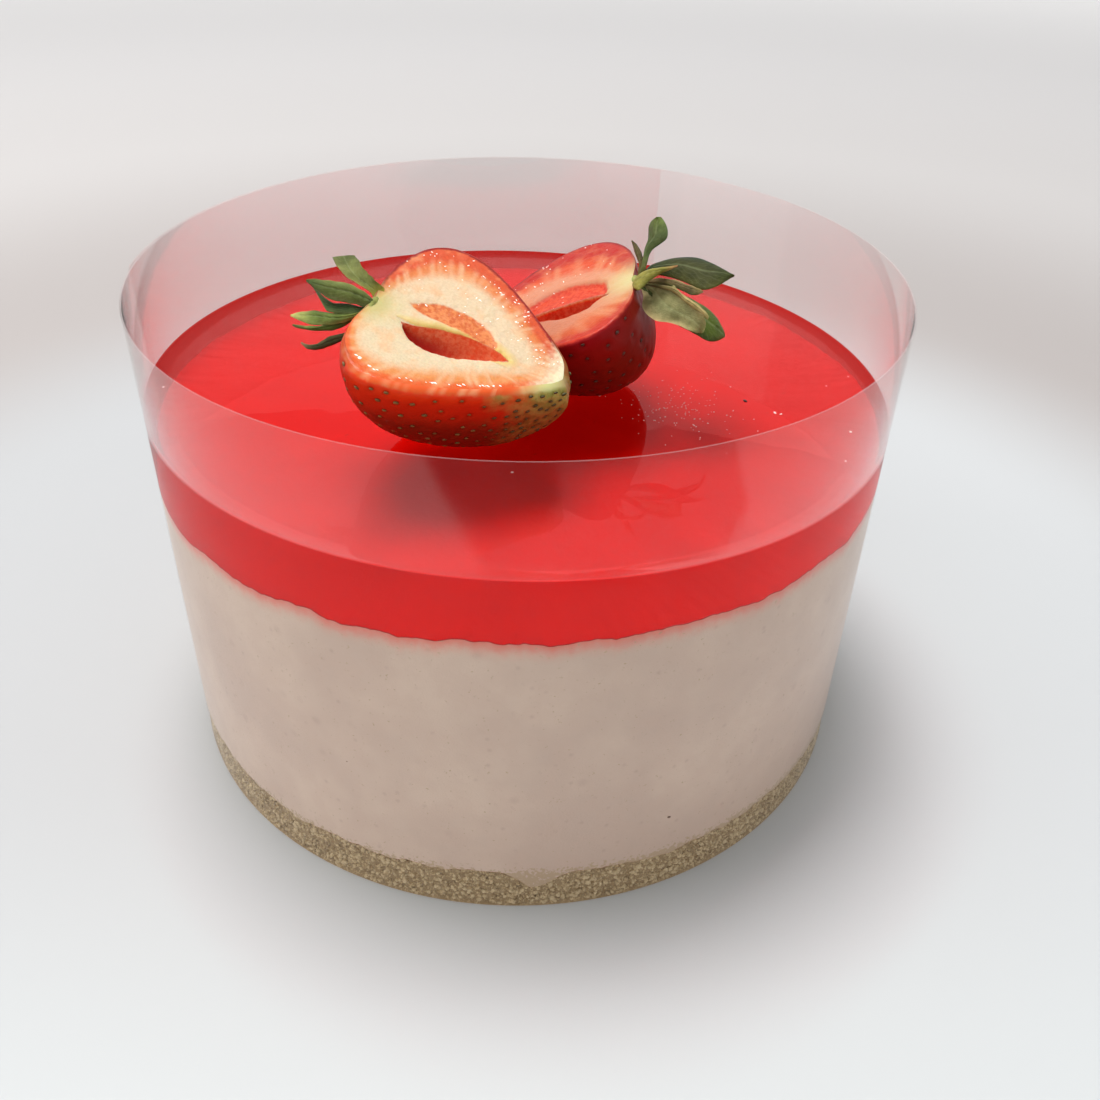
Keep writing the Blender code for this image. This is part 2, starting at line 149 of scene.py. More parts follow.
class Recipe(NodeWriter):
    """The node tree of one material."""

    def __init__(self, name: str) -> None:
        """Starts an empty material.

        Args:
            name: The material's name.
        """
        self.material = bpy.data.materials.new(name)
        self.material.use_nodes = True
        self.tree = self.material.node_tree
        self.tree.nodes.clear()
        self.output = self.add("ShaderNodeOutputMaterial")

    def place(self) -> NodeSocket:
        """The point on the object that is shaded, in metres."""
        return self.add("ShaderNodeTexCoord").outputs["Object"]

    def attribute(self, name: str) -> NodeSocket:
        """The value of a named attribute of the mesh."""
        return self.add("ShaderNodeAttribute", attribute_name=name).outputs["Fac"]

    def uneven(self, at: object, scale: float, detail: float = 3.0) -> Node:
        """Noise round 0."""
        return self.less(self.noise(at, scale, detail), 0.5)

    def mix(self, share: object, first: object, second: object, kind: str = "MIX") -> NodeSocket:
        """Mixes two colours by a share, or blends them in another way.

        Args:
            share: How much of the second colour there is, 0 to 1.
            first: The first colour.
            second: The second colour.
            kind: Blender's name for the way of blending.

        Returns:
            The colour.
        """
        wires = {0: share, 6: first, 7: second}
        return self.add("ShaderNodeMix", wires, data_type="RGBA", blend_type=kind).outputs[2]

    def darken(self, colour: object, by: tuple) -> NodeSocket:
        """The colour times another."""
        return self.mix(1.0, colour, by, "MULTIPLY")

    def layers(self, colour: object, *coats: tuple) -> NodeSocket:
        """Lays colours over one another: each coat is a share and its colour.

        Args:
            colour: The lowest colour.
            coats: A share and a colour for each coat.

        Returns:
            The colour.
        """
        for share, coat in coats:
            colour = self.mix(share, colour, coat)
        return colour

    def bump(self, height: object, strength: object, distance: float) -> Node:
        """A Bump node, with its distance in metres."""
        wires = {"Height": height, "Strength": strength, "Distance": distance}
        return self.add("ShaderNodeBump", wires)

    def group(self, tree: NodeTree, **wires: object) -> NodeSocket:
        """Places a node group with its own values and gives its output."""
        return self.add("ShaderNodeGroup", wires, node_tree=tree).outputs[0]

    def finish(self, surface: object) -> Material:
        """Links the surface to the output and returns the material."""
        self.feed(self.output.inputs["Surface"], surface)
        return self.material

    def plain(self, wires: dict) -> Node:
        """A Principled shader with these values."""
        return self.add("ShaderNodeBsdfPrincipled", wires)

    def dress(self, wires: dict) -> Material:
        """Ends the material on a Principled shader with these values."""
        return self.finish(self.plain(wires))

    def cover(self, share: object, under: object, over: object) -> Node:
        """One shader over another by a share."""
        return self.add("ShaderNodeMixShader", {0: share, 1: under, 2: over})

    def clear(self, tint: tuple) -> Node:
        """A shader that lets all light through with a tint."""
        return self.add("ShaderNodeBsdfTransparent", {"Color": tint})

    def soft_ray(self) -> Node:
        """1 for rays that carry soft light or shadow."""
        rays = self.add("ShaderNodeLightPath").outputs
        return self.calc("MAXIMUM", rays["Is Shadow Ray"], rays["Is Diffuse Ray"])


def paint(red: int, green: int, blue: int) -> tuple[float, float, float]:
    """A colour in linear light from its values on a screen, 0 to 255 each."""
    shares = (value / 255.0 for value in (red, green, blue))
    return tuple(s / 12.92 if s <= 0.04045 else ((s + 0.055) / 1.055) ** 2.4 for s in shares)


class ShaderGroup(NodeWriter):
    """A shader node group with named inputs and one output."""

    def __init__(self, name: str, **takes: str) -> None:
        """Makes the group and its inputs.

        Args:
            name: The group's name.
            takes: The type of each input, by name.
        """
        self.tree = bpy.data.node_groups.new(name, "ShaderNodeTree")
        for key, kind in takes.items():
            self.tree.interface.new_socket(key, in_out="INPUT", socket_type=kind)
        self.source = self.tree.nodes.new("NodeGroupInput").outputs

    def end(self, name: str, kind: str, value: object) -> NodeTree:
        """Gives the group its output.

        Args:
            name: The output's name.
            kind: Its type.
            value: The node or socket that it gives.

        Returns:
            The group.
        """
        self.tree.interface.new_socket(name, in_out="OUTPUT", socket_type=kind)
        self.feed(self.tree.nodes.new("NodeGroupOutput").inputs[name], value)
        return self.tree


FLOAT, COLOUR, VECTOR = "NodeSocketFloat", "NodeSocketColor", "NodeSocketVector"
SOCKETS = {float: FLOAT, int: "NodeSocketInt", Material: "NodeSocketMaterial"}


@dataclass(frozen=True)
class Effects:
    """The effects that several materials share."""

    mottle: NodeTree
    specks: NodeTree
    grain: NodeTree
    rays: NodeTree

    @classmethod
    def build(cls) -> "Effects":
        """Builds the node groups."""
        return cls(cls.make_mottle(), cls.make_specks(), cls.make_grain(), cls.make_rays())

    def rough(self, recipe: Recipe, place: object, scales: tuple, bump: tuple) -> Node:
        """A bump of fine grain.

        Args:
            recipe: The material's recipe.
            place: The point on the object.
            scales: The coarse and the fine scale, and the share of the fine.
            bump: The bump's strength and its distance in metres.

        Returns:
            The bump.
        """
        coarse, fine, share = scales
        height = recipe.group(self.grain, Place=place, Coarse=coarse, Fine=fine, Share=share)
        return recipe.bump(height, *bump)

    @staticmethod
    def make_mottle() -> NodeTree:
        """Soft patches of a second colour over a first.

        Returns:
            The node group.
        """
        takes = {"Place": VECTOR, "Scale": FLOAT, "Amount": FLOAT}
        group = ShaderGroup("soft_patches", **takes, First=COLOUR, Second=COLOUR)
        source = group.source
        cloud = group.noise(source["Place"], source["Scale"], 3.0, 0.55)
        share = group.span(cloud, 0.36, 0.64, 0.0, source["Amount"])
        wires = {0: share, 6: source["First"], 7: source["Second"]}
        mixed = group.add("ShaderNodeMix", wires, data_type="RGBA")
        return group.end("Colour", COLOUR, mixed.outputs[2])

    @staticmethod
    def make_specks() -> NodeTree:
        """Small separate dots: the mask is 1 in a dot, and Rarity thins them out.

        Returns:
            The node group.
        """
        group = ShaderGroup("small_specks", Place=VECTOR, Scale=FLOAT, Size=FLOAT, Rarity=FLOAT)
        source = group.source
        wires = {"Vector": source["Place"], "Scale": source["Scale"]}
        cells = group.add("ShaderNodeTexVoronoi", wires)
        dot = group.span(cells.outputs["Distance"], 0.0, source["Size"], 1.0, 0.0)
        split = group.add("ShaderNodeSeparateColor", {0: cells.outputs["Color"]})
        chosen = group.calc("GREATER_THAN", split, source["Rarity"])
        return group.end("Mask", FLOAT, group.times(dot, chosen))

    @staticmethod
    def make_grain() -> NodeTree:
        """A fine uneven height, coarse and fine together.

        Returns:
            The node group.
        """
        group = ShaderGroup("fine_grain", Place=VECTOR, Coarse=FLOAT, Fine=FLOAT, Share=FLOAT)
        source = group.source
        coarse = group.noise(source["Place"], source["Coarse"], 2.0)
        fine = group.noise(source["Place"], source["Fine"], 3.0)
        wires = {0: source["Share"], 2: coarse, 3: fine}
        both = group.add("ShaderNodeMix", wires, data_type="FLOAT")
        return group.end("Height", FLOAT, both)

    @staticmethod
    def make_rays() -> NodeTree:
        """Pale rays across the flesh of a fruit, wider towards its heart.

        Returns:
            The node group.
        """
        group = ShaderGroup("pale_rays", Place=VECTOR, Along=FLOAT, Band=FLOAT, Rays=FLOAT)
        source = group.source
        band = source["Band"]
        drift = group.less(group.noise(source["Place"], 130.0, 1.0), 0.5)
        along = group.blend(drift, 0.0030, source["Along"])
        at = group.times(along, source["Rays"])
        wires = {"W": at, "Scale": 1.0, "Randomness": 0.85}
        lines = group.add("ShaderNodeTexVoronoi", wires, voronoi_dimensions="1D")
        parts = []
        for value, low, high, start, end in (
            (band, -0.3, 1.0, 0.62, 0.34),
            (lines.outputs["Color"], 0.0, 1.0, 0.05, 1.0),
            (band, -0.35, 0.15, 0.0, 1.0),
            (band, 0.70, 1.03, 1.0, 0.10),
        ):
            parts.append(group.span(value, low, high, start, end, "LINEAR"))
        mask = group.span(lines.outputs["Distance"], 0.0, parts[0], 1.0, 0.0)
        for part in parts[1:]:
            mask = group.times(mask, part)
        return group.end("Mask", FLOAT, mask)


# ---- mesh helpers


def add_piece(
    name: str,
    points: np.ndarray,
    faces: list,
    finish: Material,
    values: dict[str, np.ndarray] | None = None,
) -> Object:
    """Makes a mesh object at the origin.

    Args:
        name: The piece's name.
        points: Its points, in metres.
        faces: The point numbers of each face.
        finish: Its material.
        values: A number for each point, by attribute name.

    Returns:
        The new object.
    """
    mesh = bpy.data.meshes.new(name)
    mesh.from_pydata([tuple(p) for p in np.asarray(points, float)], [], faces)
    for key, numbers in (values or {}).items():
        attribute = mesh.attributes.new(key, "FLOAT", "POINT")
        attribute.data.foreach_set("value", np.asarray(numbers, np.float32))
    mesh.materials.append(finish)
    piece = bpy.data.objects.new(name, mesh)
    bpy.context.scene.collection.objects.link(piece)
    return piece


def weld(piece: Object, within: float = 1e-6) -> None:
    """Merges doubled points and turns every face outwards.

    Args:
        piece: The piece.
        within: How close doubled points are, in metres.
    """
    shape = bmesh.new()
    shape.from_mesh(piece.data)
    bmesh.ops.remove_doubles(shape, verts=shape.verts, dist=within)
    bmesh.ops.dissolve_degenerate(shape, edges=shape.edges, dist=within / 10.0)
    bmesh.ops.recalc_face_normals(shape, faces=shape.faces)
    shape.to_mesh(piece.data)
    shape.free()


def smooth(piece: Object, sharp_degrees: float = 180.0) -> None:
    """Shades the piece smooth, apart from edges sharper than an angle.

    Args:
        piece: The piece.
        sharp_degrees: The angle from which an edge stays sharp.
    """
    piece.data.shade_smooth()
    if sharp_degrees < 180.0:
        piece.data.set_sharp_from_angle(angle=math.radians(sharp_degrees))


def grid_faces(rows: int, columns: int, closed: bool = False, start: int = 0) -> list:
    """Quads over rows x columns points, and round from the last column to the first if closed.

    Args:
        rows: How many rows of points there are.
        columns: How many points a row has.
        closed: Whether each row closes on itself.
        start: The number of the first point.

    Returns:
        The faces, as point numbers.
    """
    faces = []
    for row in range(rows - 1):
        for column in range(columns if closed else columns - 1):
            after = (column + 1) % columns
            low, high = start + row * columns, start + (row + 1) * columns
            faces.append((low + column, low + after, high + after, high + column))
    return faces


def settle(piece: Object) -> None:
    """Turns the object with its modifiers into a plain mesh and removes the modifiers.

    Args:
        piece: The piece, with its modifiers.
    """
    bpy.context.view_layer.update()
    graph = bpy.context.evaluated_depsgraph_get()
    baked = bpy.data.meshes.new_from_object(piece.evaluated_get(graph))
    piece.modifiers.clear()
    old = piece.data
    piece.data = baked
    baked.name = piece.name
    bpy.data.meshes.remove(old)


def hand_over(piece: Object, slot: str, *nodes: str) -> None:
    """Ties a finished piece to the model and reports it.

    Args:
        piece: The finished piece.
        slot: Not used.
        nodes: The solids that it stands for.
    """
    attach(piece, BODY)
    if nodes:
        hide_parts(*nodes)
    triangles = sum(len(face.vertices) - 2 for face in piece.data.polygons)
    solids = ", ".join(nodes) or "nothing"
    LOG.info("%s: %d triangles, stands for %s", piece.name, triangles, solids)


def wander(x: float, y: float, z: float) -> float:
    """A smooth uneven value between about -1 and 1."""
    return noise.noise(Vector((x, y, z)))


def wanders(points: np.ndarray, *more: float) -> np.ndarray:
    """The uneven value at each of many points."""
    return np.array([wander(*point, *more) for point in points])


def resample(at: np.ndarray, steps: np.ndarray, line: np.ndarray) -> np.ndarray:
    """The points of a line at other steps along it."""
    return np.stack([np.interp(at, steps, values) for values in line.T], 1)


def travelled(line: np.ndarray) -> np.ndarray:
    """How far along a line each of its points lies."""
    return np.r_[0.0, np.cumsum(np.linalg.norm(np.diff(line, axis=0), axis=1))]


def round_trip(there: np.ndarray, back: np.ndarray) -> np.ndarray:
    """A loop of one line and, in reverse, the inner points of another."""
    return np.concatenate([there, back[::-1][1:-1]])


# ---- geometry trees


class GeometryRecipe(NodeWriter):
    """A Geometry Nodes tree with named inputs, run once on a piece."""

    def __init__(self, name: str, inputs: dict[str, object]) -> None:
        """Starts the tree.

        Args:
            name: The tree's name.
            inputs: The value of each input, by name: a float, an int or a material.
        """
        self.tree = bpy.data.node_groups.new(name, "GeometryNodeTree")
        face = self.tree.interface
        face.new_socket("Geometry", in_out="INPUT", socket_type="NodeSocketGeometry")
        self.values = {}
        for key, value in inputs.items():
            socket = face.new_socket(key, in_out="INPUT", socket_type=SOCKETS[type(value)])
            self.values[socket.identifier] = value
        face.new_socket("Geometry", in_out="OUTPUT", socket_type="NodeSocketGeometry")
        self.source = self.tree.nodes.new("NodeGroupInput").outputs
        self.result = self.tree.nodes.new("NodeGroupOutput").inputs

    def named(self, name: str, kind: str = "FLOAT") -> NodeSocket:
        """A named attribute of the incoming points."""
        node = self.add("GeometryNodeInputNamedAttribute", {"Name": name}, data_type=kind)
        return node.outputs["Attribute"]

    def draw(self, low: float, high: float, seed: object) -> NodeSocket:
        """A random number for each point, from a fixed seed."""
        node = self.add("FunctionNodeRandomValue", {2: low, 3: high, 8: seed}, data_type="FLOAT")
        return node.outputs[1]

    def draw_vector(self, low: float, high: float, seed: object) -> NodeSocket:
        """Three random numbers for each point, from a fixed seed."""
        wires = {0: (low,) * 3, 1: (high,) * 3, 8: seed}
        return self.add("FunctionNodeRandomValue", wires, data_type="FLOAT_VECTOR").outputs[0]

    def scaled(self, place: object, by: object) -> Node:
        """A vector times a number."""
        return self.add("ShaderNodeVectorMath", {0: place, "Scale": by}, operation="SCALE")

    def run(self, piece: Object, geometry: object) -> None:
        """Dresses the geometry, runs the tree on the piece and keeps the plain mesh.

        Args:
            piece: The piece that holds the points.
            geometry: The node that makes the geometry.
        """
        whole = self.add("GeometryNodeRealizeInstances", {0: geometry})
        wires = {"Geometry": whole, "Material": self.source["Finish"]}
        self.feed(self.result[0], self.add("GeometryNodeSetMaterial", wires))
        modifier = piece.modifiers.new(self.tree.name, "NODES")
        modifier.node_group = self.tree
        for identifier, value in self.values.items():
            modifier[identifier] = value
        settle(piece)


def set_turns(piece: Object, turns: np.ndarray) -> None:
    """Keeps the rotation of each of a piece's points, as Euler angles."""
    attribute = piece.data.attributes.new("turn", "FLOAT_VECTOR", "POINT")
    attribute.data.foreach_set("vector", np.asarray(turns, np.float32).ravel())


def scatter_ovals(
    piece: Object,
    size: tuple,
    uneven: float,
    seed: int,
    finish: Material,
    measure: str = "",
) -> None:
    """Puts a small oval body on each of a piece's points.

    Args:
        piece: The piece, which holds the points and the rotation of each.
        size: Half the length, width and height of an oval.
        uneven: How much the sizes differ, as a share.
        seed: The seed of the sizes.
        finish: The material.
        measure: The attribute that holds each oval's own scale, if there is one.
    """
    inputs = dict(zip(("Length", "Width", "Height"), size))
    inputs |= {"Uneven": uneven, "Seed": seed, "Finish": finish}
    tree = GeometryRecipe("ovals_of_" + piece.name, inputs)
    source = tree.source
    oval = tree.add("GeometryNodeMeshIcoSphere", {"Radius": 1.0, "Subdivisions": 2})
    scale = tree.point(source["Length"], source["Width"], source["Height"])
    shaped = tree.add("GeometryNodeTransform", {"Geometry": oval, "Scale": scale})
    low, high = tree.less(1.0, source["Uneven"]), tree.total(1.0, source["Uneven"])
    scale = tree.draw(low, high, source["Seed"])
    if measure:
        scale = tree.times(scale, tree.named(measure))
    turn = tree.named("turn", "FLOAT_VECTOR")
    wires = {"Points": source["Geometry"], "Instance": shaped, "Rotation": turn, "Scale": scale}
    tree.run(piece, tree.add("GeometryNodeInstanceOnPoints", wires))
    smooth(piece)


# ---- the layers


@dataclass(frozen=True)
class CakeShape:
    """Sizes and surfaces of the round cake, as the solids have them."""

    radius: float = 0.075
    biscuit_height: float = 0.0093
    mousse_height: float = 0.0666
    jelly_height: float = 0.0772
    gap: float = 0.0003
    mousse_slope: tuple = (0.012, -0.005)
    jelly_slope: tuple = (-0.017, -0.021)
    crumb_wave: float = 0.0008
    crumb_spacing: float = 0.011
    dip_depth: float = 0.0036
    dip_angle: float = math.radians(-87.5)
    dip_spread: float = math.radians(2.6)
    mousse_wave: float = 0.0006
    mousse_spacing: float = 0.009
    climb: float = 0.0007
    climb_reach: float = 0.0016

    def ripple(self, x: float, y: float, spacing: float, layer: int) -> float:
        """The slow waves of a layer's surface."""
        return 1.6 * wander(x / spacing, y / spacing, 7.3 * layer)

    def biscuit_top(self, x: float, y: float) -> float:
        """Height of the crumbs, with the dip at the front edge.

        Args:
            x: Across, in metres.
            y: Away from the front, in metres.

        Returns:
            The height in metres.
        """
        off = (math.atan2(y, x) - self.dip_angle) / self.dip_spread
        near_edge = min(1.0, math.hypot(x, y) / self.radius) ** 8
        dip = self.dip_depth * near_edge * math.exp(-off * off)
        wave = self.crumb_wave * self.ripple(x, y, self.crumb_spacing, 1)
        return self.biscuit_height + wave - dip

    def mousse_top(self, x: float, y: float) -> float:
        """Height of the mousse under the jelly."""
        level = self.mousse_height + self.mousse_slope[0] * x + self.mousse_slope[1] * y
        return level + self.mousse_wave * self.ripple(x, y, self.mousse_spacing, 2)

    def jelly_level(self, x: float, y: float) -> float:
        """Height of the jelly away from the film."""
        return self.jelly_height + self.jelly_slope[0] * x + self.jelly_slope[1] * y

    def jelly_top(self, x: float, y: float) -> float:
        """Height of the jelly, which climbs at the film."""
        inside = max(0.0, self.radius - math.hypot(x, y))
        return self.jelly_level(x, y) + self.climb * math.exp(-inside / self.climb_reach)


SHAPE = CakeShape()
Height = Callable[[float, float], float]
Pull = Callable[[float, float, float], float]


@dataclass
class RoundLayer:
    """A round body between two surfaces, with a fine side wall."""

    name: str
    reach: float
    around: int
    side_rows: int
    rings: tuple
    low_rings: tuple = (0.0, 0.3, 0.6, 0.85, 0.96, 1.0)

    def build(
        self, low: Height, high: Height, finish: Material, wall: Pull | None = None
    ) -> Object:
        """Builds the layer.

        Args:
            low: Height of the underside at x, y.
            high: Height of the top at x, y.
            finish: The material.
            wall: Moves a point of the side: takes x, y, z and gives its inward pull in metres.

        Returns:
            The piece.
        """
        loops = [(share, high) for share in self.rings]
        loops += [(1.0, row / self.side_rows) for row in range(1, self.side_rows)]
        loops += [(share, low) for share in reversed(self.low_rings)]
        points, depths = [], []
        for share, rule in loops:
            for step in range(self.around):
                angle = 2.0 * math.pi * step / self.around
                radius = self.reach * share
                depth = 0.0
                x, y = radius * math.cos(angle), radius * math.sin(angle)
                if callable(rule):
                    z = rule(x, y)
                else:
                    top, bottom = high(x, y), low(x, y)
                    z = top + (bottom - top) * rule
                    depth = (top - z) / MM
                    if wall:
                        shrink = 1.0 - wall(x, y, z) / radius
                        x, y = x * shrink, y * shrink
                points.append((x, y, z))
                depths.append(depth)
        faces = grid_faces(len(loops), self.around, closed=True)
        walls = np.repeat(np.arange(len(loops)) >= len(self.rings), self.around)
        values = {"wall": walls, "depth": depths}
        piece = add_piece(self.name, np.array(points), faces, finish, values)
        weld(piece)
        smooth(piece, sharp_degrees=50.0)
        return piece


@dataclass(frozen=True)
class MousseFinish:
    """Pale set mousse, with faint patches and flecks of fruit."""

    pale: tuple = paint(210, 186, 167)
    deep: tuple = paint(198, 173, 156)
    fleck: tuple = paint(150, 112, 100)
    rosy: tuple = paint(202, 175, 157)
    crumb: tuple = paint(176, 150, 116)
    stain: tuple = paint(226, 104, 84)

    def make(self, effects: Effects) -> Material:
        """Builds the material.

        Args:
            effects: The shared effects.

        Returns:
            The material.
        """
        recipe = Recipe("set_mousse")
        place = recipe.place()
        colour = self.pale
        for scale, amount, other in ((38.0, 1.0, self.deep), (210.0, 0.40, self.rosy)):
            wires = {"Scale": scale, "Amount": amount, "First": colour, "Second": other}
            colour = recipe.group(effects.mottle, Place=place, **wires)
        for scale, size, rarity, strength in ((420.0, 0.30, 0.78, 0.24), (170.0, 0.26, 0.84, 0.20)):
            wires = {"Scale": scale, "Size": size, "Rarity": rarity}
            flecks = recipe.group(effects.specks, Place=place, **wires)
            colour = recipe.mix(recipe.times(flecks, strength), colour, self.fleck)
        rough = recipe.blend(recipe.noise(place, 700.0, 3.0), -1.6, 0.8)
        seep = recipe.span(recipe.total(recipe.attribute("depth"), rough), 4.8, -0.3)
        seep = recipe.times(recipe.calc("POWER", seep, 1.7), 0.85)
        rise = recipe.span(recipe.axes(place)[2], 0.0085, 0.0128, 0.30, 0.0)
        crumbs = recipe.total(recipe.noise(place, 1300.0, 3.0, 0.6), rise)
        crumbs = recipe.span(crumbs, 0.64, 0.74, 0.0, 0.8)
        colour = recipe.layers(colour, (seep, self.stain), (crumbs, self.crumb))
        bump = effects.rough(recipe, place, (700.0, 2600.0, 0.4), (0.35, 0.0003))
        return recipe.dress({"Base Color": colour, "Roughness": 0.5, "Normal": bump})


@dataclass(frozen=True)
class JellyFinish:
    """Clear red jelly over the mousse; daylight reaches the mousse through it."""

    tint: tuple = (0.93, 0.020, 0.012)
    pressed: tuple = (0.77, 0.084, 0.054)
    pressed_top: tuple = (0.71, 0.094, 0.072)
    daylight: tuple = (0.83, 0.053, 0.036)
    side_daylight: tuple = (0.45, 0.020, 0.015)

    def make(self) -> Material:
        """Builds the material.

        Returns:
            The material.
        """
        recipe = Recipe("red_jelly")
        place = recipe.place()
        wires = {
            "Base Color": self.tint,
            "Roughness": 0.015,
            "Transmission Weight": 1.0,
            "IOR": 1.23,
            "Normal": recipe.bump(recipe.noise(place, 60.0, 1.0), 0.15, 0.0006),
        }
        touching = recipe.calc("GREATER_THAN", recipe.attribute("wall"), 0.05)
        level = recipe.blend(recipe.noise(place, 50.0), 0.004, recipe.axes(place)[2])
        tint = recipe.mix(recipe.span(level, 0.0705, 0.0785), self.pressed, self.pressed_top)
        seen = recipe.cover(touching, recipe.plain(wires), recipe.clear(tint))
        light = recipe.mix(touching, self.daylight, self.side_daylight)
        return recipe.finish(recipe.cover(recipe.soft_ray(), seen, recipe.clear(light)))


@dataclass(frozen=True)
class BiscuitFinish:
    """Pressed biscuit crumbs in tans and browns."""

    light: tuple = paint(211, 190, 150)
    middle: tuple = paint(198, 175, 135)
    dark: tuple = paint(178, 154, 114)
    gap: tuple = paint(152, 127, 89)

    def make(self, effects: Effects) -> Material:
        """Builds the material.

        Args:
            effects: The shared effects.

        Returns:
            The material.
        """
        recipe = Recipe("biscuit_crumbs")
        place = recipe.place()
        tone = recipe.blend(recipe.uneven(place, 1500.0), 1.3, recipe.attribute("tone"))
        tone = recipe.total(recipe.less(recipe.noise(place, 3000.0), 0.42), tone)
        colour = recipe.layers(
            self.gap,
            (recipe.span(tone, 0.0, 0.35), self.dark),
            (recipe.span(tone, 0.2, 0.65), self.middle),
            (recipe.span(tone, 0.55, 1.05), self.light),
        )
        bump = effects.rough(recipe, place, (1200.0, 4200.0, 0.45), (0.8, 0.0005))
        return recipe.dress({"Base Color": colour, "Roughness": 0.8, "Normal": bump})


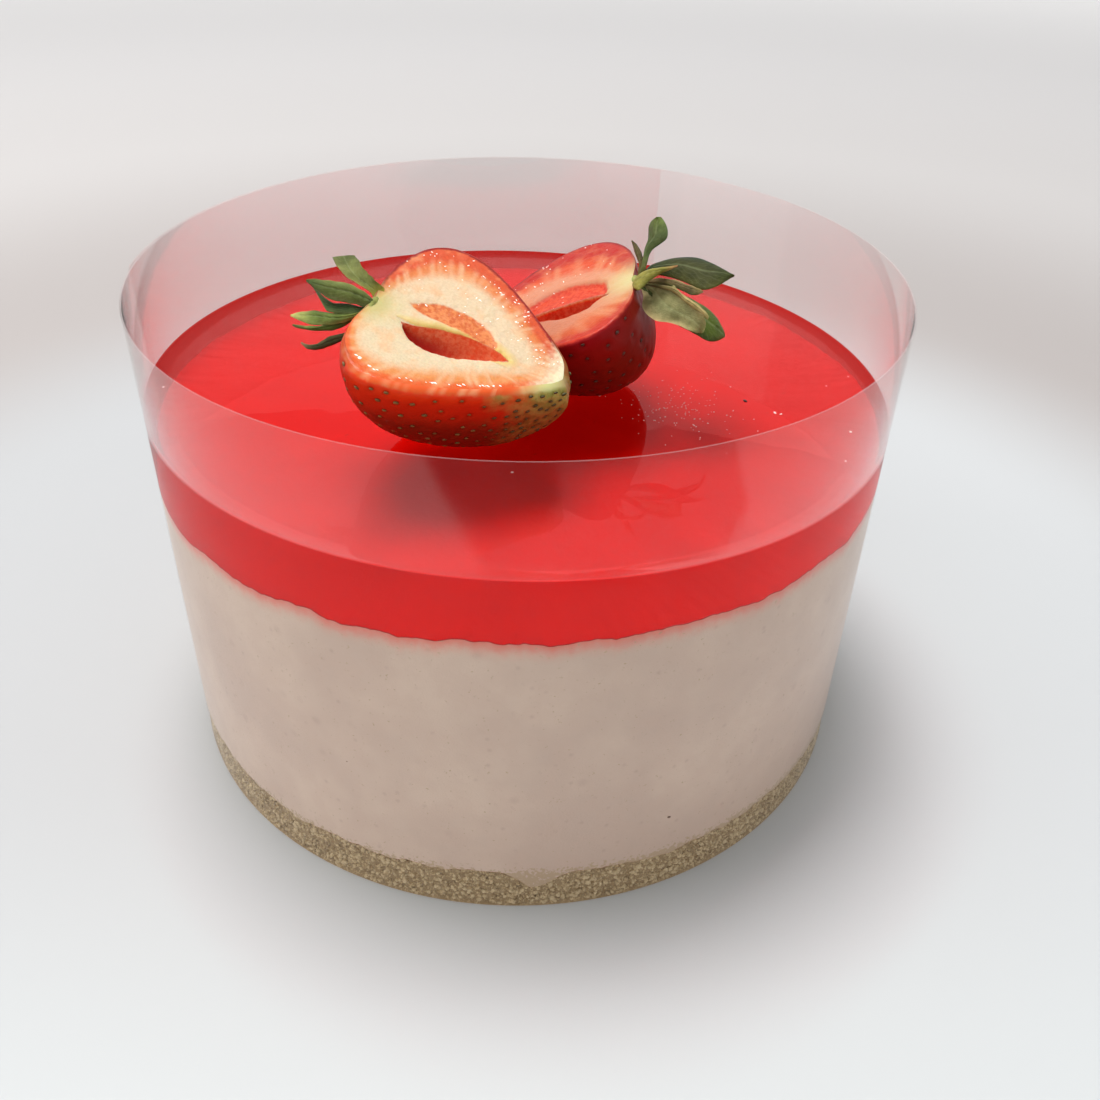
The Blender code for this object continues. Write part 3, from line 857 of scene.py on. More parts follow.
@dataclass
class Layers:
    """Biscuit, mousse and jelly, pressed against the film."""

    effects: Effects
    contact: np.ndarray
    biscuit_reach: float = 0.07530
    mousse_reach: float = 0.07536
    jelly_reach: float = 0.07540
    around: int = 600
    rest_rings: tuple = (0.0, *(step / 20.0 for step in range(1, 20)), 0.985, 1.0)
    meniscus: float = 0.0006
    meniscus_reach: float = 0.0009
    pit_spacing: float = 0.0016
    pit_depth: float = 0.0009
    pit_rarity: float = 0.58
    rough_spacing: float = 0.0011
    rough_depth: float = 0.0008
    crumbs: int = 9600
    crumb_band: float = 0.0017

    def biscuit_top(self, x: float, y: float) -> float:
        """Top of the crumbs, ragged at the side and a little higher at the left.

        Args:
            x: Across, in metres.
            y: Away from the front, in metres.

        Returns:
            The height in metres.
        """
        near_edge = min(1.0, math.hypot(x, y) / self.biscuit_reach) ** 12
        left = max(0.0, math.cos(math.atan2(y, x) + 2.55)) ** 2
        ragged = self.fray(x, y, (0.0007, 0.0021, 3.3), (0.0005, 0.0046, 8.1))
        return SHAPE.biscuit_top(x, y) + near_edge * (0.0010 * left + ragged)

    @staticmethod
    def fray(x: float, y: float, *waves: tuple) -> float:
        """The uneven line of an edge: each wave is a height, a spacing and a layer."""
        return sum(high * wander(x / gap, y / gap, layer) for high, gap, layer in waves)

    def mousse_top(self, x: float, y: float) -> float:
        """Top of the mousse with the scallops at its edge.

        Args:
            x: Across, in metres.
            y: Away from the front, in metres.

        Returns:
            The height in metres.
        """
        near_edge = min(1.0, math.hypot(x, y) / self.mousse_reach) ** 12
        scallops = self.fray(x, y, (0.00046, 0.0021, 4.1), (0.00026, 0.0009, 9.7))
        return SHAPE.mousse_top(x, y) + near_edge * scallops

    def jelly_bottom(self, x: float, y: float) -> float:
        """Underside of the jelly, a little inside the mousse."""
        return self.mousse_top(x, y) - 0.00015

    def make_mousse(self) -> None:
        """The mousse, with small pits in its side."""

        def wall(x: float, y: float, z: float) -> float:
            """How deep the side is pitted at a point."""
            gap = self.pit_spacing
            return self.pit_depth * max(0.0, wander(x / gap, y / gap, z / gap) - self.pit_rarity)

        def bottom(x: float, y: float) -> float:
            """The underside, a little inside the biscuit."""
            return self.biscuit_top(x, y) - 0.0002

        rings = self.rest_rings
        layer = RoundLayer("mousse_body", self.mousse_reach, self.around, side_rows=60, rings=rings)
        finish = MousseFinish().make(self.effects)
        hand_over(layer.build(bottom, self.mousse_top, finish, wall), "mousse", "mousse")

    def make_jelly(self) -> None:
        """The jelly, which climbs at the film and round the strawberry halves."""
        radii = [0.0, 0.0015, *np.arange(0.003, 0.046, 0.00046), *np.arange(0.047, 0.0745, 0.0016)]
        rings = tuple(radius / self.jelly_reach for radius in radii) + (0.990, 0.994, 0.998, 1.0)
        sizes = {"side_rows": 10, "rings": rings, "low_rings": self.rest_rings}
        layer = RoundLayer("jelly_layer", self.jelly_reach, self.around, **sizes)

        def top(x: float, y: float) -> float:
            """The jelly's height with its rise round the halves."""
            off = np.sqrt(((self.contact - (x, y)) ** 2).sum(axis=1).min())
            return SHAPE.jelly_top(x, y) + self.meniscus * math.exp(-off / self.meniscus_reach)

        hand_over(layer.build(self.jelly_bottom, top, JellyFinish().make()), "jelly", "jelly")

    def make_biscuit(self) -> None:
        """The pressed crumbs, with a rough side."""

        def wall(x: float, y: float, z: float) -> float:
            """How far the side lies inwards at a point.

            Args:
                x: Across.
                y: Away from the front.
                z: Up.

            Returns:
                The inward pull in metres.
            """
            gap = self.rough_spacing
            rough = 0.5 + 0.5 * wander(x / gap, y / gap, z / gap)
            return 0.0003 + self.rough_depth * rough * rough

        rings = (0.0, 0.25, 0.5, 0.75, 0.9, 0.97, 1.0)
        sizes = {"around": 720, "side_rows": 18, "rings": rings}
        layer = RoundLayer("biscuit_layer", self.biscuit_reach, **sizes)
        finish = BiscuitFinish().make(self.effects)
        piece = layer.build(lambda x, y: 0.0, self.biscuit_top, finish, wall)
        hand_over(piece, "biscuit_base", "biscuit_base")
        self.make_crumbs(finish)

    def make_crumbs(self, finish: Material) -> None:
        """Loose crumbs pressed flat between the biscuit's side and the film.

        Args:
            finish: The biscuit's material.
        """
        draw = np.random.default_rng(31)
        count = self.crumbs
        angle = draw.uniform(0.0, 2.0 * math.pi, count)
        radius = self.biscuit_reach - 0.0005
        x, y = radius * np.cos(angle), radius * np.sin(angle)
        tops = np.array([self.biscuit_top(a, b) for a, b in zip(x, y)])
        share = draw.uniform(0.0, 1.0, count) ** 1.1
        stray = self.crumb_band * draw.uniform(-0.7, 1.0, count) ** 3
        z = 0.0001 + (tops + stray - 0.0001) * share
        piece = add_piece("biscuit_crumbs", np.stack([x, y, z], 1), [], finish)
        inputs = {"Smallest": 0.00018, "Largest": 0.00063, "Small share": 2.2}
        inputs |= {"Wall radius": 0.07539, "Uneven press": 0.00028, "Seed": 5, "Finish": finish}
        tree = GeometryRecipe("pressed_crumbs", inputs)
        source = tree.source
        seed = source["Seed"]
        crumb = tree.add("GeometryNodeMeshIcoSphere", {"Radius": 1.0, "Subdivisions": 1})
        turn = tree.draw_vector(-math.pi, math.pi, seed)
        share = tree.calc("POWER", tree.draw(0.0, 1.0, seed), source["Small share"])
        spread = tree.less(source["Largest"], source["Smallest"])
        size = tree.total(source["Smallest"], tree.times(share, spread))
        scale = tree.scaled(tree.draw_vector(0.65, 1.3, tree.total(seed, 1.0)), size)
        wires = {"Points": source["Geometry"], "Instance": crumb, "Rotation": turn, "Scale": scale}
        crumbs = tree.add("GeometryNodeInstanceOnPoints", wires)
        for name, low, extra in (("tone", 0.05, 2.0), ("press", 0.0, 3.0)):
            number = tree.draw(low, 1.0, tree.total(seed, extra))
            wires = {"Geometry": crumbs, "Name": name, "Value": number}
            settings = {"data_type": "FLOAT", "domain": "INSTANCE"}
            crumbs = tree.add("GeometryNodeStoreNamedAttribute", wires, **settings)
        loose = tree.add("GeometryNodeRealizeInstances", {0: crumbs})
        x, y, z = tree.axes(tree.add("GeometryNodeInputPosition"))
        flat = tree.point(x, y)
        sunk = tree.times(tree.named("press"), source["Uneven press"])
        share = tree.calc("DIVIDE", tree.less(source["Wall radius"], sunk), tree.length(flat))
        x, y, _ = tree.axes(tree.scaled(flat, tree.calc("MINIMUM", share, 1.0)))
        place = tree.point(x, y, tree.calc("MAXIMUM", z, 0.0))
        tree.run(piece, tree.add("GeometryNodeSetPosition", {"Geometry": loose, "Position": place}))
        hand_over(piece, "biscuit_base")


@dataclass
class Specks:
    """Stray specks of dust, tiny bubbles and a berry seed, where the cake has them, and two pale
    dots that are painted glints.
    """

    # x, y in millimetres, a scale and a tone; the pale speck at -1.5, -41.3 is a painted glint at
    # the foot of the front half.
    on_jelly: tuple = (
        (45.8, -9.8, 0.46, 0.0), (51.0, -14.8, 0.42, 1.0), (52.1, -15.3, 0.24, 1.0),
        (16.0, -9.4, 0.42, 1.0), (17.1, -9.6, 0.20, 1.0), (-1.5, -41.3, 0.30, 1.0),
        (70.4, 3.5, 0.16, 1.0), (64.5, -1.5, 0.14, 1.0),
    )
    # x, y, z in millimetres, a scale and a tone; the pale speck at -57.8, -48.5 is a painted
    # highlight on the film.
    on_side: tuple = (
        (53.8, -52.9, 93.7, 0.26, 1.0), (54.1, -52.6, 88.0, 0.22, 1.0),
        (-57.8, -48.5, 97.8, 0.2, 1.0), (28.84, -69.67, 19.4, 0.36, 0.25),
        (-31.0, -68.6, 33.0, 0.22, 0.3),
    )
    size: tuple = (0.0011, 0.0008, 0.0005)
    bubbles: int = 150
    bubble_tone: float = 0.80
    patch: tuple = ((22.0, -29.0), (44.0, 1.0))

    def build(self) -> None:
        """Builds all of them as small ovals."""
        draw = np.random.default_rng(77)
        rows = []
        for x, y, size, tone in self.on_jelly:
            level = SHAPE.jelly_level(x * MM, y * MM) + 0.00003
            rows.append((x * MM, y * MM, level, size, tone))
        rows += [(x * MM, y * MM, z * MM, size, tone) for x, y, z, size, tone in self.on_side]
        middle = np.mean(self.patch, axis=0)
        half = np.ptp(self.patch, axis=0) / 2.0
        for _ in range(self.bubbles):
            x, y = (middle + half * np.clip(draw.normal(0.0, 0.5, 2), -1.2, 1.2)) * MM
            level = SHAPE.jelly_level(x, y) + 0.00002
            rows.append((x, y, level, draw.uniform(0.08, 0.17), self.bubble_tone))
        table = np.array(rows)
        finish = self.make_finish()
        values = {"tone": table[:, 4], "large": table[:, 3]}
        piece = add_piece("specks_and_painted_glints", table[:, :3], [], finish, values)
        turns = draw.uniform(-0.3, 0.3, (len(table), 3))
        turns[:, 2] *= 10.0
        set_turns(piece, turns)
        looks = {"uneven": 0.15, "seed": 9, "finish": finish, "measure": "large"}
        scatter_ovals(piece, self.size, **looks)
        hand_over(piece, "jelly")

    @staticmethod
    def make_finish() -> Material:
        """Brown for the dark ones, pale pink to white for the others.

        Returns:
            The material.
        """
        recipe = Recipe("speck")
        tone = recipe.attribute("tone")
        middle = (recipe.span(tone, 0.0, 0.5), paint(150, 110, 84))
        pale = (recipe.span(tone, 0.5, 1.0), paint(250, 214, 206))
        colour = recipe.layers(paint(24, 8, 6), middle, pale)
        return recipe.dress({"Base Color": colour, "Roughness": 0.4})


# ---- the film


@dataclass(frozen=True)
class FilmFinish:
    """Clear acetate: it mirrors a little, and its cut rim is a pale pink line, partly its cloudy
    cut edge and partly a painted highlight.
    """

    index: float = 1.48
    tint: tuple = (0.985, 0.975, 0.975)
    cloudy_rim_and_highlight: tuple = (0.80, 0.54, 0.54)
    rim_share: float = 0.12
    gloss: tuple = (1.08, 0.60)
    rim_from: float = 0.10067

    def make(self) -> Material:
        """Builds the material.

        Returns:
            The material.
        """
        recipe = Recipe("clear_film")
        mirror = {"Base Color": (1.0, 1.0, 1.0), "Metallic": 1.0, "Roughness": 0.03}
        back = recipe.add("ShaderNodeNewGeometry").outputs["Backfacing"]
        index = recipe.span(back, 0.0, 1.0, self.index, 1.0 / self.index)
        fresnel = recipe.add("ShaderNodeFresnel", {"IOR": index})
        inner, below = self.wet_side(recipe)
        through = recipe.calc("MAXIMUM", recipe.soft_ray(), recipe.times(inner, below))
        share = recipe.times(fresnel, recipe.less(1.0, through))
        share = recipe.times(share, recipe.span(below, 0.0, 1.0, *self.gloss))
        sheet = recipe.cover(share, recipe.clear(self.tint), recipe.plain(mirror))
        # The rim's pale pink: the cloudy cut edge, and a painted highlight where the edge catches
        # light.
        rim = recipe.plain({"Base Color": self.cloudy_rim_and_highlight, "Roughness": 0.4})
        height = recipe.axes(recipe.place())[2]
        on_rim = recipe.times(recipe.calc("GREATER_THAN", height, self.rim_from), self.rim_share)
        return recipe.finish(recipe.cover(on_rim, sheet, rim))

    @staticmethod
    def wet_side(recipe: Recipe) -> tuple[Node, Node]:
        """The film's inner side, and the part of its height that the cake touches.

        Args:
            recipe: The film's recipe.

        Returns:
            1 on the inner side, and 1 up to the top of the cake.
        """
        x, y, z = recipe.axes(recipe.place())
        reach = recipe.length(recipe.point(x, y))
        inner = recipe.calc("LESS_THAN", reach, SHAPE.radius + SHAPE.gap + 0.00015)
        level = recipe.blend(x, -SHAPE.jelly_slope[0], z)
        level = recipe.blend(y, -SHAPE.jelly_slope[1], level)
        return inner, recipe.calc("LESS_THAN", level, SHAPE.jelly_height + SHAPE.climb)


@dataclass
class Collar:
    """One strip of film, wound round the cake and on past its first end."""

    height: float = 0.1007
    thickness: float = 0.0003
    radius: float = 0.0753
    start: float = math.radians(63.0)
    end: float = math.radians(543.0)
    lap_ramp: float = math.radians(14.0)
    lap_rise: float = 0.0006
    wobble: float = 0.00006
    steps: int = 720

    def build(self) -> None:
        """Builds the strip with a tree that follows the winding."""
        finish = FilmFinish().make()
        piece = add_piece("film_collar", np.zeros((1, 3)), [], finish)
        inputs = {
            "Radius": self.radius + self.thickness / 2.0,
            "Height": self.height,
            "Thickness": self.thickness,
            "Start": self.start,
            "End": self.end,
            "Lap ramp": self.lap_ramp,
            "Lap rise": self.lap_rise,
            "Wobble": self.wobble,
            "Steps": self.steps,
            "Finish": finish,
        }
        tree = GeometryRecipe("wound_film", inputs)
        source = tree.source
        start, ramp, steps = source["Start"], source["Lap ramp"], source["Steps"]
        line = tree.add("GeometryNodeMeshLine", {"Count": steps, "Offset": (0.0, 0.0, 0.0)})
        share = tree.calc("DIVIDE", tree.add("GeometryNodeInputIndex"), tree.less(steps, 1.0))
        angle = tree.total(start, tree.times(share, tree.less(source["End"], start)))
        lap_at = tree.less(tree.total(start, 2.0 * math.pi), ramp)
        rise = tree.span(angle, lap_at, tree.total(lap_at, ramp), 0.0, source["Lap rise"])
        wires = {"W": angle, "Scale": 2.2, "Detail": 1.0}
        wave = tree.add("ShaderNodeTexNoise", wires, noise_dimensions="1D")
        sway = tree.times(tree.less(wave, 0.5), source["Wobble"])
        radius = tree.total(tree.total(source["Radius"], rise), sway)
        x, y = (tree.times(radius, tree.calc(kind, angle)) for kind in ("COSINE", "SINE"))
        place = tree.point(x, y, tree.times(source["Height"], 0.5))
        route = tree.add("GeometryNodeSetPosition", {"Geometry": line, "Position": place})
        curve = tree.add("GeometryNodeMeshToCurve", {0: route})
        upright = tree.add("GeometryNodeSetCurveNormal", {"Curve": curve}, mode="Z_UP")
        wires = {"Width": source["Thickness"], "Height": source["Height"]}
        section = tree.add("GeometryNodeCurvePrimitiveQuadrilateral", wires)
        wires = {"Curve": upright, "Profile Curve": section, "Fill Caps": True}
        tree.run(piece, tree.add("GeometryNodeCurveToMesh", wires))
        weld(piece)
        smooth(piece, sharp_degrees=40.0)
        # Soft light passes the film as if it weren't there, which saves much time.
        piece.visible_shadow = False
        piece.visible_diffuse = False
        hand_over(piece, "collar", "collar")


# ---- the strawberry


def smooth_line(points: tuple, count: int) -> np.ndarray:
    """Resamples a bent line evenly, with its corners rounded.

    Args:
        points: Corners as x, y in millimetres.
        count: How many points to return.

    Returns:
        The points in metres.
    """
    corners = np.array(points, float) * MM
    steps = travelled(corners)
    line = resample(np.linspace(0.0, steps[-1], 400), steps, corners)
    for _ in range(60):
        line[1:-1] += 0.5 * (0.5 * (line[2:] + line[:-2]) - line[1:-1])
    for _ in range(4):
        line[8:-8] = (line[:-16] + line[16:] + 2.0 * line[8:-8]) / 4.0
    steps = travelled(line)
    return resample(np.linspace(0.0, steps[-1], count), steps, line)


def edge_distance(points: np.ndarray, corners: np.ndarray) -> np.ndarray:
    """Distance from each point to a closed outline, negative inside it.

    Args:
        points: N points as x, y.
        corners: The outline's corners as x, y.

    Returns:
        N distances.
    """
    starts, ends = corners, np.roll(corners, -1, axis=0)
    nearest = np.full(len(points), 1e9)
    inside = np.zeros(len(points), bool)
    for a, b in zip(starts, ends):
        run = b - a
        share = np.clip(((points - a) @ run) / max(run @ run, 1e-18), 0.0, 1.0)
        nearest = np.minimum(nearest, np.linalg.norm(points - a - share[:, None] * run, axis=1))
        crosses = (a[1] > points[:, 1]) != (b[1] > points[:, 1])
        rise = b[1] - a[1] if abs(b[1] - a[1]) > 1e-15 else 1e-15
        inside ^= crosses & (points[:, 0] < a[0] + (points[:, 1] - a[1]) * run[0] / rise)
    return np.where(inside, -nearest, nearest)


@dataclass(frozen=True)
class FleshColours:
    """The colours of one cut face."""

    cream: tuple
    cream_far: tuple
    middle: tuple
    middle_far: tuple
    edge: tuple
    edge_far: tuple
    streak: tuple
    lens: tuple
    lens_pale: tuple
    # The dark red deep in the hollow is painted shade.
    hollow: tuple
    wall: tuple
    fuzz: tuple
    neck: tuple
    tip: tuple
    rays: float
    ridge: tuple = paint(234, 214, 148)
    blush: tuple = paint(234, 172, 120)
    rim: tuple = paint(140, 16, 20)


@dataclass(frozen=True)
class SkinColours:
    """The colours of one half's skin and seeds."""

    flesh: tuple
    streak: tuple
    rim: tuple
    side: tuple
    # deep: the dark red low on the skin, partly its own colour and partly painted shade.
    deep: tuple
    tip: tuple
    tip_low: tuple
    tip_flesh: tuple
    neck: tuple
    seed: tuple
    seed_tip: tuple
    rays: float
    wet: float = 1.0


class Side(IntEnum):
    """The side of a half that faces the camera, as the sign of its Y."""

    MINUS = -1
    PLUS = 1


@dataclass(frozen=True)
class HalfShape:
    """One half of the strawberry in its own frame: X from crown to tip, Z up out of the cut."""

    name: str
    centre: tuple
    heading: float
    pitch: float
    roll: float
    length: float
    width: float
    depth: float
    crown_power: float
    width_power: float
    depth_power: float
    depth_round: float
    crown_at: float
    near_edge: tuple
    far_edge: tuple
    hollow_depth: float
    floor_share: float
    lens: tuple
    cream: tuple
    near_side: Side
    seed: int
    crown_share: float = 0.45
    dimple: float = 0.0009
    dimple_reach: float = 0.0052
    near_rim: float = 0.0019
    far_rim: float = 0.0006
    tip_rim: float = 0.0026
    flesh_depth: float = 0.0006
    seed_gap: float = 0.0025
    tip_gap: float = 0.00145
    ridge: float = 0.0
    lens_sink: float = 0.0003
    nape: float = 0.0045
    neck_reach: float = 0.0045
    tip_reach: float = 0.0056
    # How many painted glint dots sit along the near rim and on the cut face.
    rim_glint_dots: int = 60
    glint_dots: int = 300

    def skin_point(self, from_crown: float, around: float) -> np.ndarray:
        """A point on the skin.

        Args:
            from_crown: 0 at the crown to 1 at the tip.
            around: 0 at one rim of the cut, under the half, to pi at the other.

        Returns:
            The point in the half's frame.
        """
        share = from_crown ** (1.0 / self.crown_power)
        under = from_crown ** (self.depth_power / self.crown_power)
        half = self.width / 2.0 * max(0.0, math.sin(math.pi * from_crown)) ** self.width_power
        deep = self.depth * max(0.0, math.sin(math.pi * under)) ** self.depth_round
        x = (share - self.crown_share) * self.length
        y = half * math.cos(around)
        z = -deep * math.sin(around)
        off = math.hypot(y - self.crown_at, z) / self.dimple_reach
        if x < 0.0:
            x += self.dimple * math.exp(-off * off)
        return np.array((x, y, z))

    def turn(self) -> np.ndarray:
        """The rotation from the half's frame to the cake's."""
        return np.array(Euler((self.roll, self.pitch, self.heading)).to_matrix())

    def put(self, points: np.ndarray) -> np.ndarray:
        """Moves points from the half's frame to the cake's."""
        return points @ self.turn().T + np.array(self.centre)

    def along(self, points: np.ndarray) -> np.ndarray:
        """How far from crown to tip points lie, 0 to 1."""
        return points[..., 0] / self.length + self.crown_share

    def nearness(self, points: np.ndarray) -> np.ndarray:
        """1 on the side that faces the camera, 0 on the other."""
        return np.clip(0.5 + points[:, 1] * self.near_side / 0.004, 0.0, 1.0)

    def own_place(self, recipe: Recipe) -> Node:
        """The shaded point in the half's frame.

        Args:
            recipe: The material's recipe.

        Returns:
            The node that gives it.
        """
        turn = (self.roll, self.pitch, self.heading)
        wires = {"Vector": recipe.place(), "Location": self.centre, "Rotation": turn}
        return recipe.add("ShaderNodeMapping", wires, vector_type="TEXTURE")


@dataclass(frozen=True)
class FleshFinish:
    """The wet cut face: cream heart, orange flesh with pale streaks, translucent core, and painted
    shade deep in the hollow.
    """

    half: HalfShape
    colours: FleshColours

    def make(self, effects: Effects) -> Material:
        """Builds the material.

        Args:
            effects: The shared effects.

        Returns:
            The material.
        """
        tints = self.colours
        recipe = Recipe("flesh_of_" + self.half.name)
        place = self.half.own_place(recipe)
        x, y, _ = recipe.axes(place)
        far = recipe.span(recipe.times(y, float(-self.half.near_side)), -0.006, 0.004)
        fine = recipe.uneven(place, 900.0)
        margin = recipe.blend(fine, 0.9, recipe.attribute("margin"))
        rim = recipe.times(recipe.span(margin, 0.10, 0.70, 1.0, 0.0), far)
        end = recipe.blend(fine, 0.5, recipe.attribute("tip"))
        fibre = recipe.span(recipe.noise(place, 1200.0, 4.0, 0.6), 0.36, 0.66)
        lens = recipe.span(recipe.blend(fine, 0.6, recipe.attribute("lens")), 0.25, 0.75)
        cave = recipe.attribute("cave")
        # Painted shade: the hollow darkens towards its deep floor, most towards the crown end.
        inward = recipe.span(x, 0.004, -0.005, 0.10, 1.0)
        depth = recipe.times(recipe.span(cave, 0.20, 0.70), inward)
        wall = recipe.mix(depth, recipe.mix(fibre, tints.wall, tints.fuzz), tints.hollow)
        colour = recipe.layers(
            self.paint_flesh(recipe, effects, place, far, fine),
            (rim, tints.rim),
            (recipe.span(end, 0.25, 0.85), tints.tip),
            (recipe.attribute("neck"), tints.neck),
            (recipe.attribute("ridge"), tints.ridge),
            (lens, recipe.mix(fibre, tints.lens, tints.lens_pale)),
            (recipe.span(cave, 0.0, 0.12), wall),
        )
        wet = recipe.calc("MAXIMUM", recipe.span(far, 0.0, 1.0, 0.20, 1.0), lens)
        edge = recipe.span(margin, 0.2, 1.6, 1.0, 0.30)
        wires = {
            "Base Color": colour,
            "Roughness": 0.45,
            "IOR": 1.36,
            "Subsurface Weight": 0.30,
            "Subsurface Radius": (0.0030, 0.0012, 0.0007),
            "Subsurface Scale": 0.6,
            "Specular IOR Level": 0.20,
            "Coat Weight": recipe.times(recipe.calc("MAXIMUM", edge, wet), 0.22),
            "Coat Roughness": 0.08,
            "Normal": effects.rough(recipe, place, (650.0, 2100.0, 0.5), (0.5, 0.0004)),
            "Coat Normal": recipe.bump(recipe.noise(place, 1300.0, 3.0, 0.65), wet, 0.00045),
        }
        return recipe.dress(wires)

    def paint_flesh(
        self, recipe: Recipe, effects: Effects, place: object, far: object, fine: object
    ) -> NodeSocket:
        """Colours the flesh from its cream heart to its red edge.

        Args:
            recipe: The material's recipe.
            effects: The shared effects.
            place: The point in the half's frame.
            far: 1 on the side away from the camera.
            fine: Fine noise round 0.

        Returns:
            The colour.
        """
        tints = self.colours
        band = recipe.times(recipe.attribute("band"), recipe.span(far, 0.0, 1.0, 1.12, 1.50))
        band = recipe.blend(fine, 0.30, band)
        wires = {"Along": recipe.attribute("spoke"), "Band": band, "Rays": tints.rays}
        rays = recipe.times(recipe.group(effects.rays, Place=place, **wires), 0.80)
        patch = recipe.span(recipe.noise(place, 260.0), 0.46, 0.72, 0.0, 0.45)
        colour = recipe.layers(
            recipe.mix(far, tints.cream, tints.cream_far),
            (recipe.span(band, -0.30, 0.48), recipe.mix(far, tints.middle, tints.middle_far)),
            (recipe.span(band, 0.46, 1.0), recipe.mix(far, tints.edge, tints.edge_far)),
            (rays, tints.streak),
            (patch, tints.blush),
        )
        pulp = recipe.span(recipe.noise(place, 1900.0), 0.36, 0.64, 0.0, 0.32)
        return recipe.mix(pulp, colour, recipe.darken(colour, (0.80, 0.74, 0.70)))


@dataclass(frozen=True)
class SkinFinish:
    """The glossy red skin, pale at the crown and green-yellow at the tip. It darkens lower down,
    partly its own deeper red and partly painted shade, and painted shade darkens its crown end and
    the dimples round its seeds.
    """

    half: HalfShape
    colours: SkinColours

    def make(self, effects: Effects) -> Material:
        """Builds the material.

        Args:
            effects: The shared effects.

        Returns:
            The material.
        """
        tints = self.colours
        recipe = Recipe("skin_of_" + self.half.name)
        place = recipe.place()
        under, end, nape, edge, pit = map(recipe.attribute, ("under", "end", "nape", "edge", "pit"))
        drift = recipe.uneven(place, 220.0)
        level = recipe.blend(drift, 3.0, under)
        # Darker from the rim down the side: partly the skin's own deeper red, partly painted shade.
        red = recipe.mix(recipe.span(level, 0.2, 3.5), tints.rim, tints.side)
        red = recipe.mix(recipe.span(level, 3.0, 11.0), red, tints.deep)
        green = recipe.mix(recipe.span(level, 0.5, 7.0), tints.tip, tints.tip_low)
        spots = recipe.span(recipe.noise(place, 620.0, 3.0, 0.6), 0.46, 0.60, 0.0, 0.55)
        green = recipe.mix(spots, green, recipe.darken(green, (0.46, 0.50, 0.32)))
        red = recipe.mix(recipe.span(recipe.blend(drift, 0.9, end), 0.22, 0.85), red, green)
        # Painted shade in the dimples round the seeds.
        dark = recipe.darken(red, (0.50, 0.45, 0.42))
        red = recipe.mix(recipe.span(pit, 0.15, 0.9, 0.0, 0.8), red, dark)
        wires = {"Along": recipe.attribute("spoke"), "Band": 0.6, "Rays": tints.rays}
        rays = recipe.times(recipe.group(effects.rays, Place=place, **wires), 0.6)
        flesh = recipe.mix(rays, tints.flesh, tints.streak)
        flesh = recipe.mix(recipe.span(end, 0.40, 0.80), flesh, tints.tip_flesh)
        start = recipe.blend(recipe.uneven(place, 900.0), 0.7, edge)
        along, across, _ = recipe.axes(self.half.own_place(recipe))
        across = recipe.times(across, float(self.half.near_side))
        far_rim = recipe.times(recipe.span(across, 0.004, -0.003), recipe.span(edge, 1.6, 0.6))
        colour = recipe.layers(
            flesh,
            (recipe.span(start, -0.30, 0.25), red),
            (recipe.span(recipe.blend(drift, 0.5, nape), 0.3, 0.8), tints.neck),
            # Painted shade at the crown end.
            (recipe.span(along, -0.009, -0.016, 0.0, 0.55), tints.deep),
            (recipe.times(far_rim, 0.85), tints.deep),
        )
        near = recipe.span(across, -0.004, 0.006, 0.08 * tints.wet, tints.wet)
        bump = effects.rough(recipe, place, (500.0, 1900.0, 0.35), (0.30, 0.0003))
        wires = {
            "Base Color": colour,
            "Roughness": 0.40,
            "IOR": 1.4,
            "Subsurface Weight": 0.12,
            "Subsurface Radius": (0.002, 0.0006, 0.0003),
            "Subsurface Scale": 0.5,
            "Specular IOR Level": 0.12,
            "Coat Weight": recipe.times(near, recipe.span(edge, -0.2, 1.8, 1.0, 0.30)),
            "Coat Roughness": 0.10,
            "Normal": bump,
            "Coat Normal": bump,
        }
        return recipe.dress(wires)


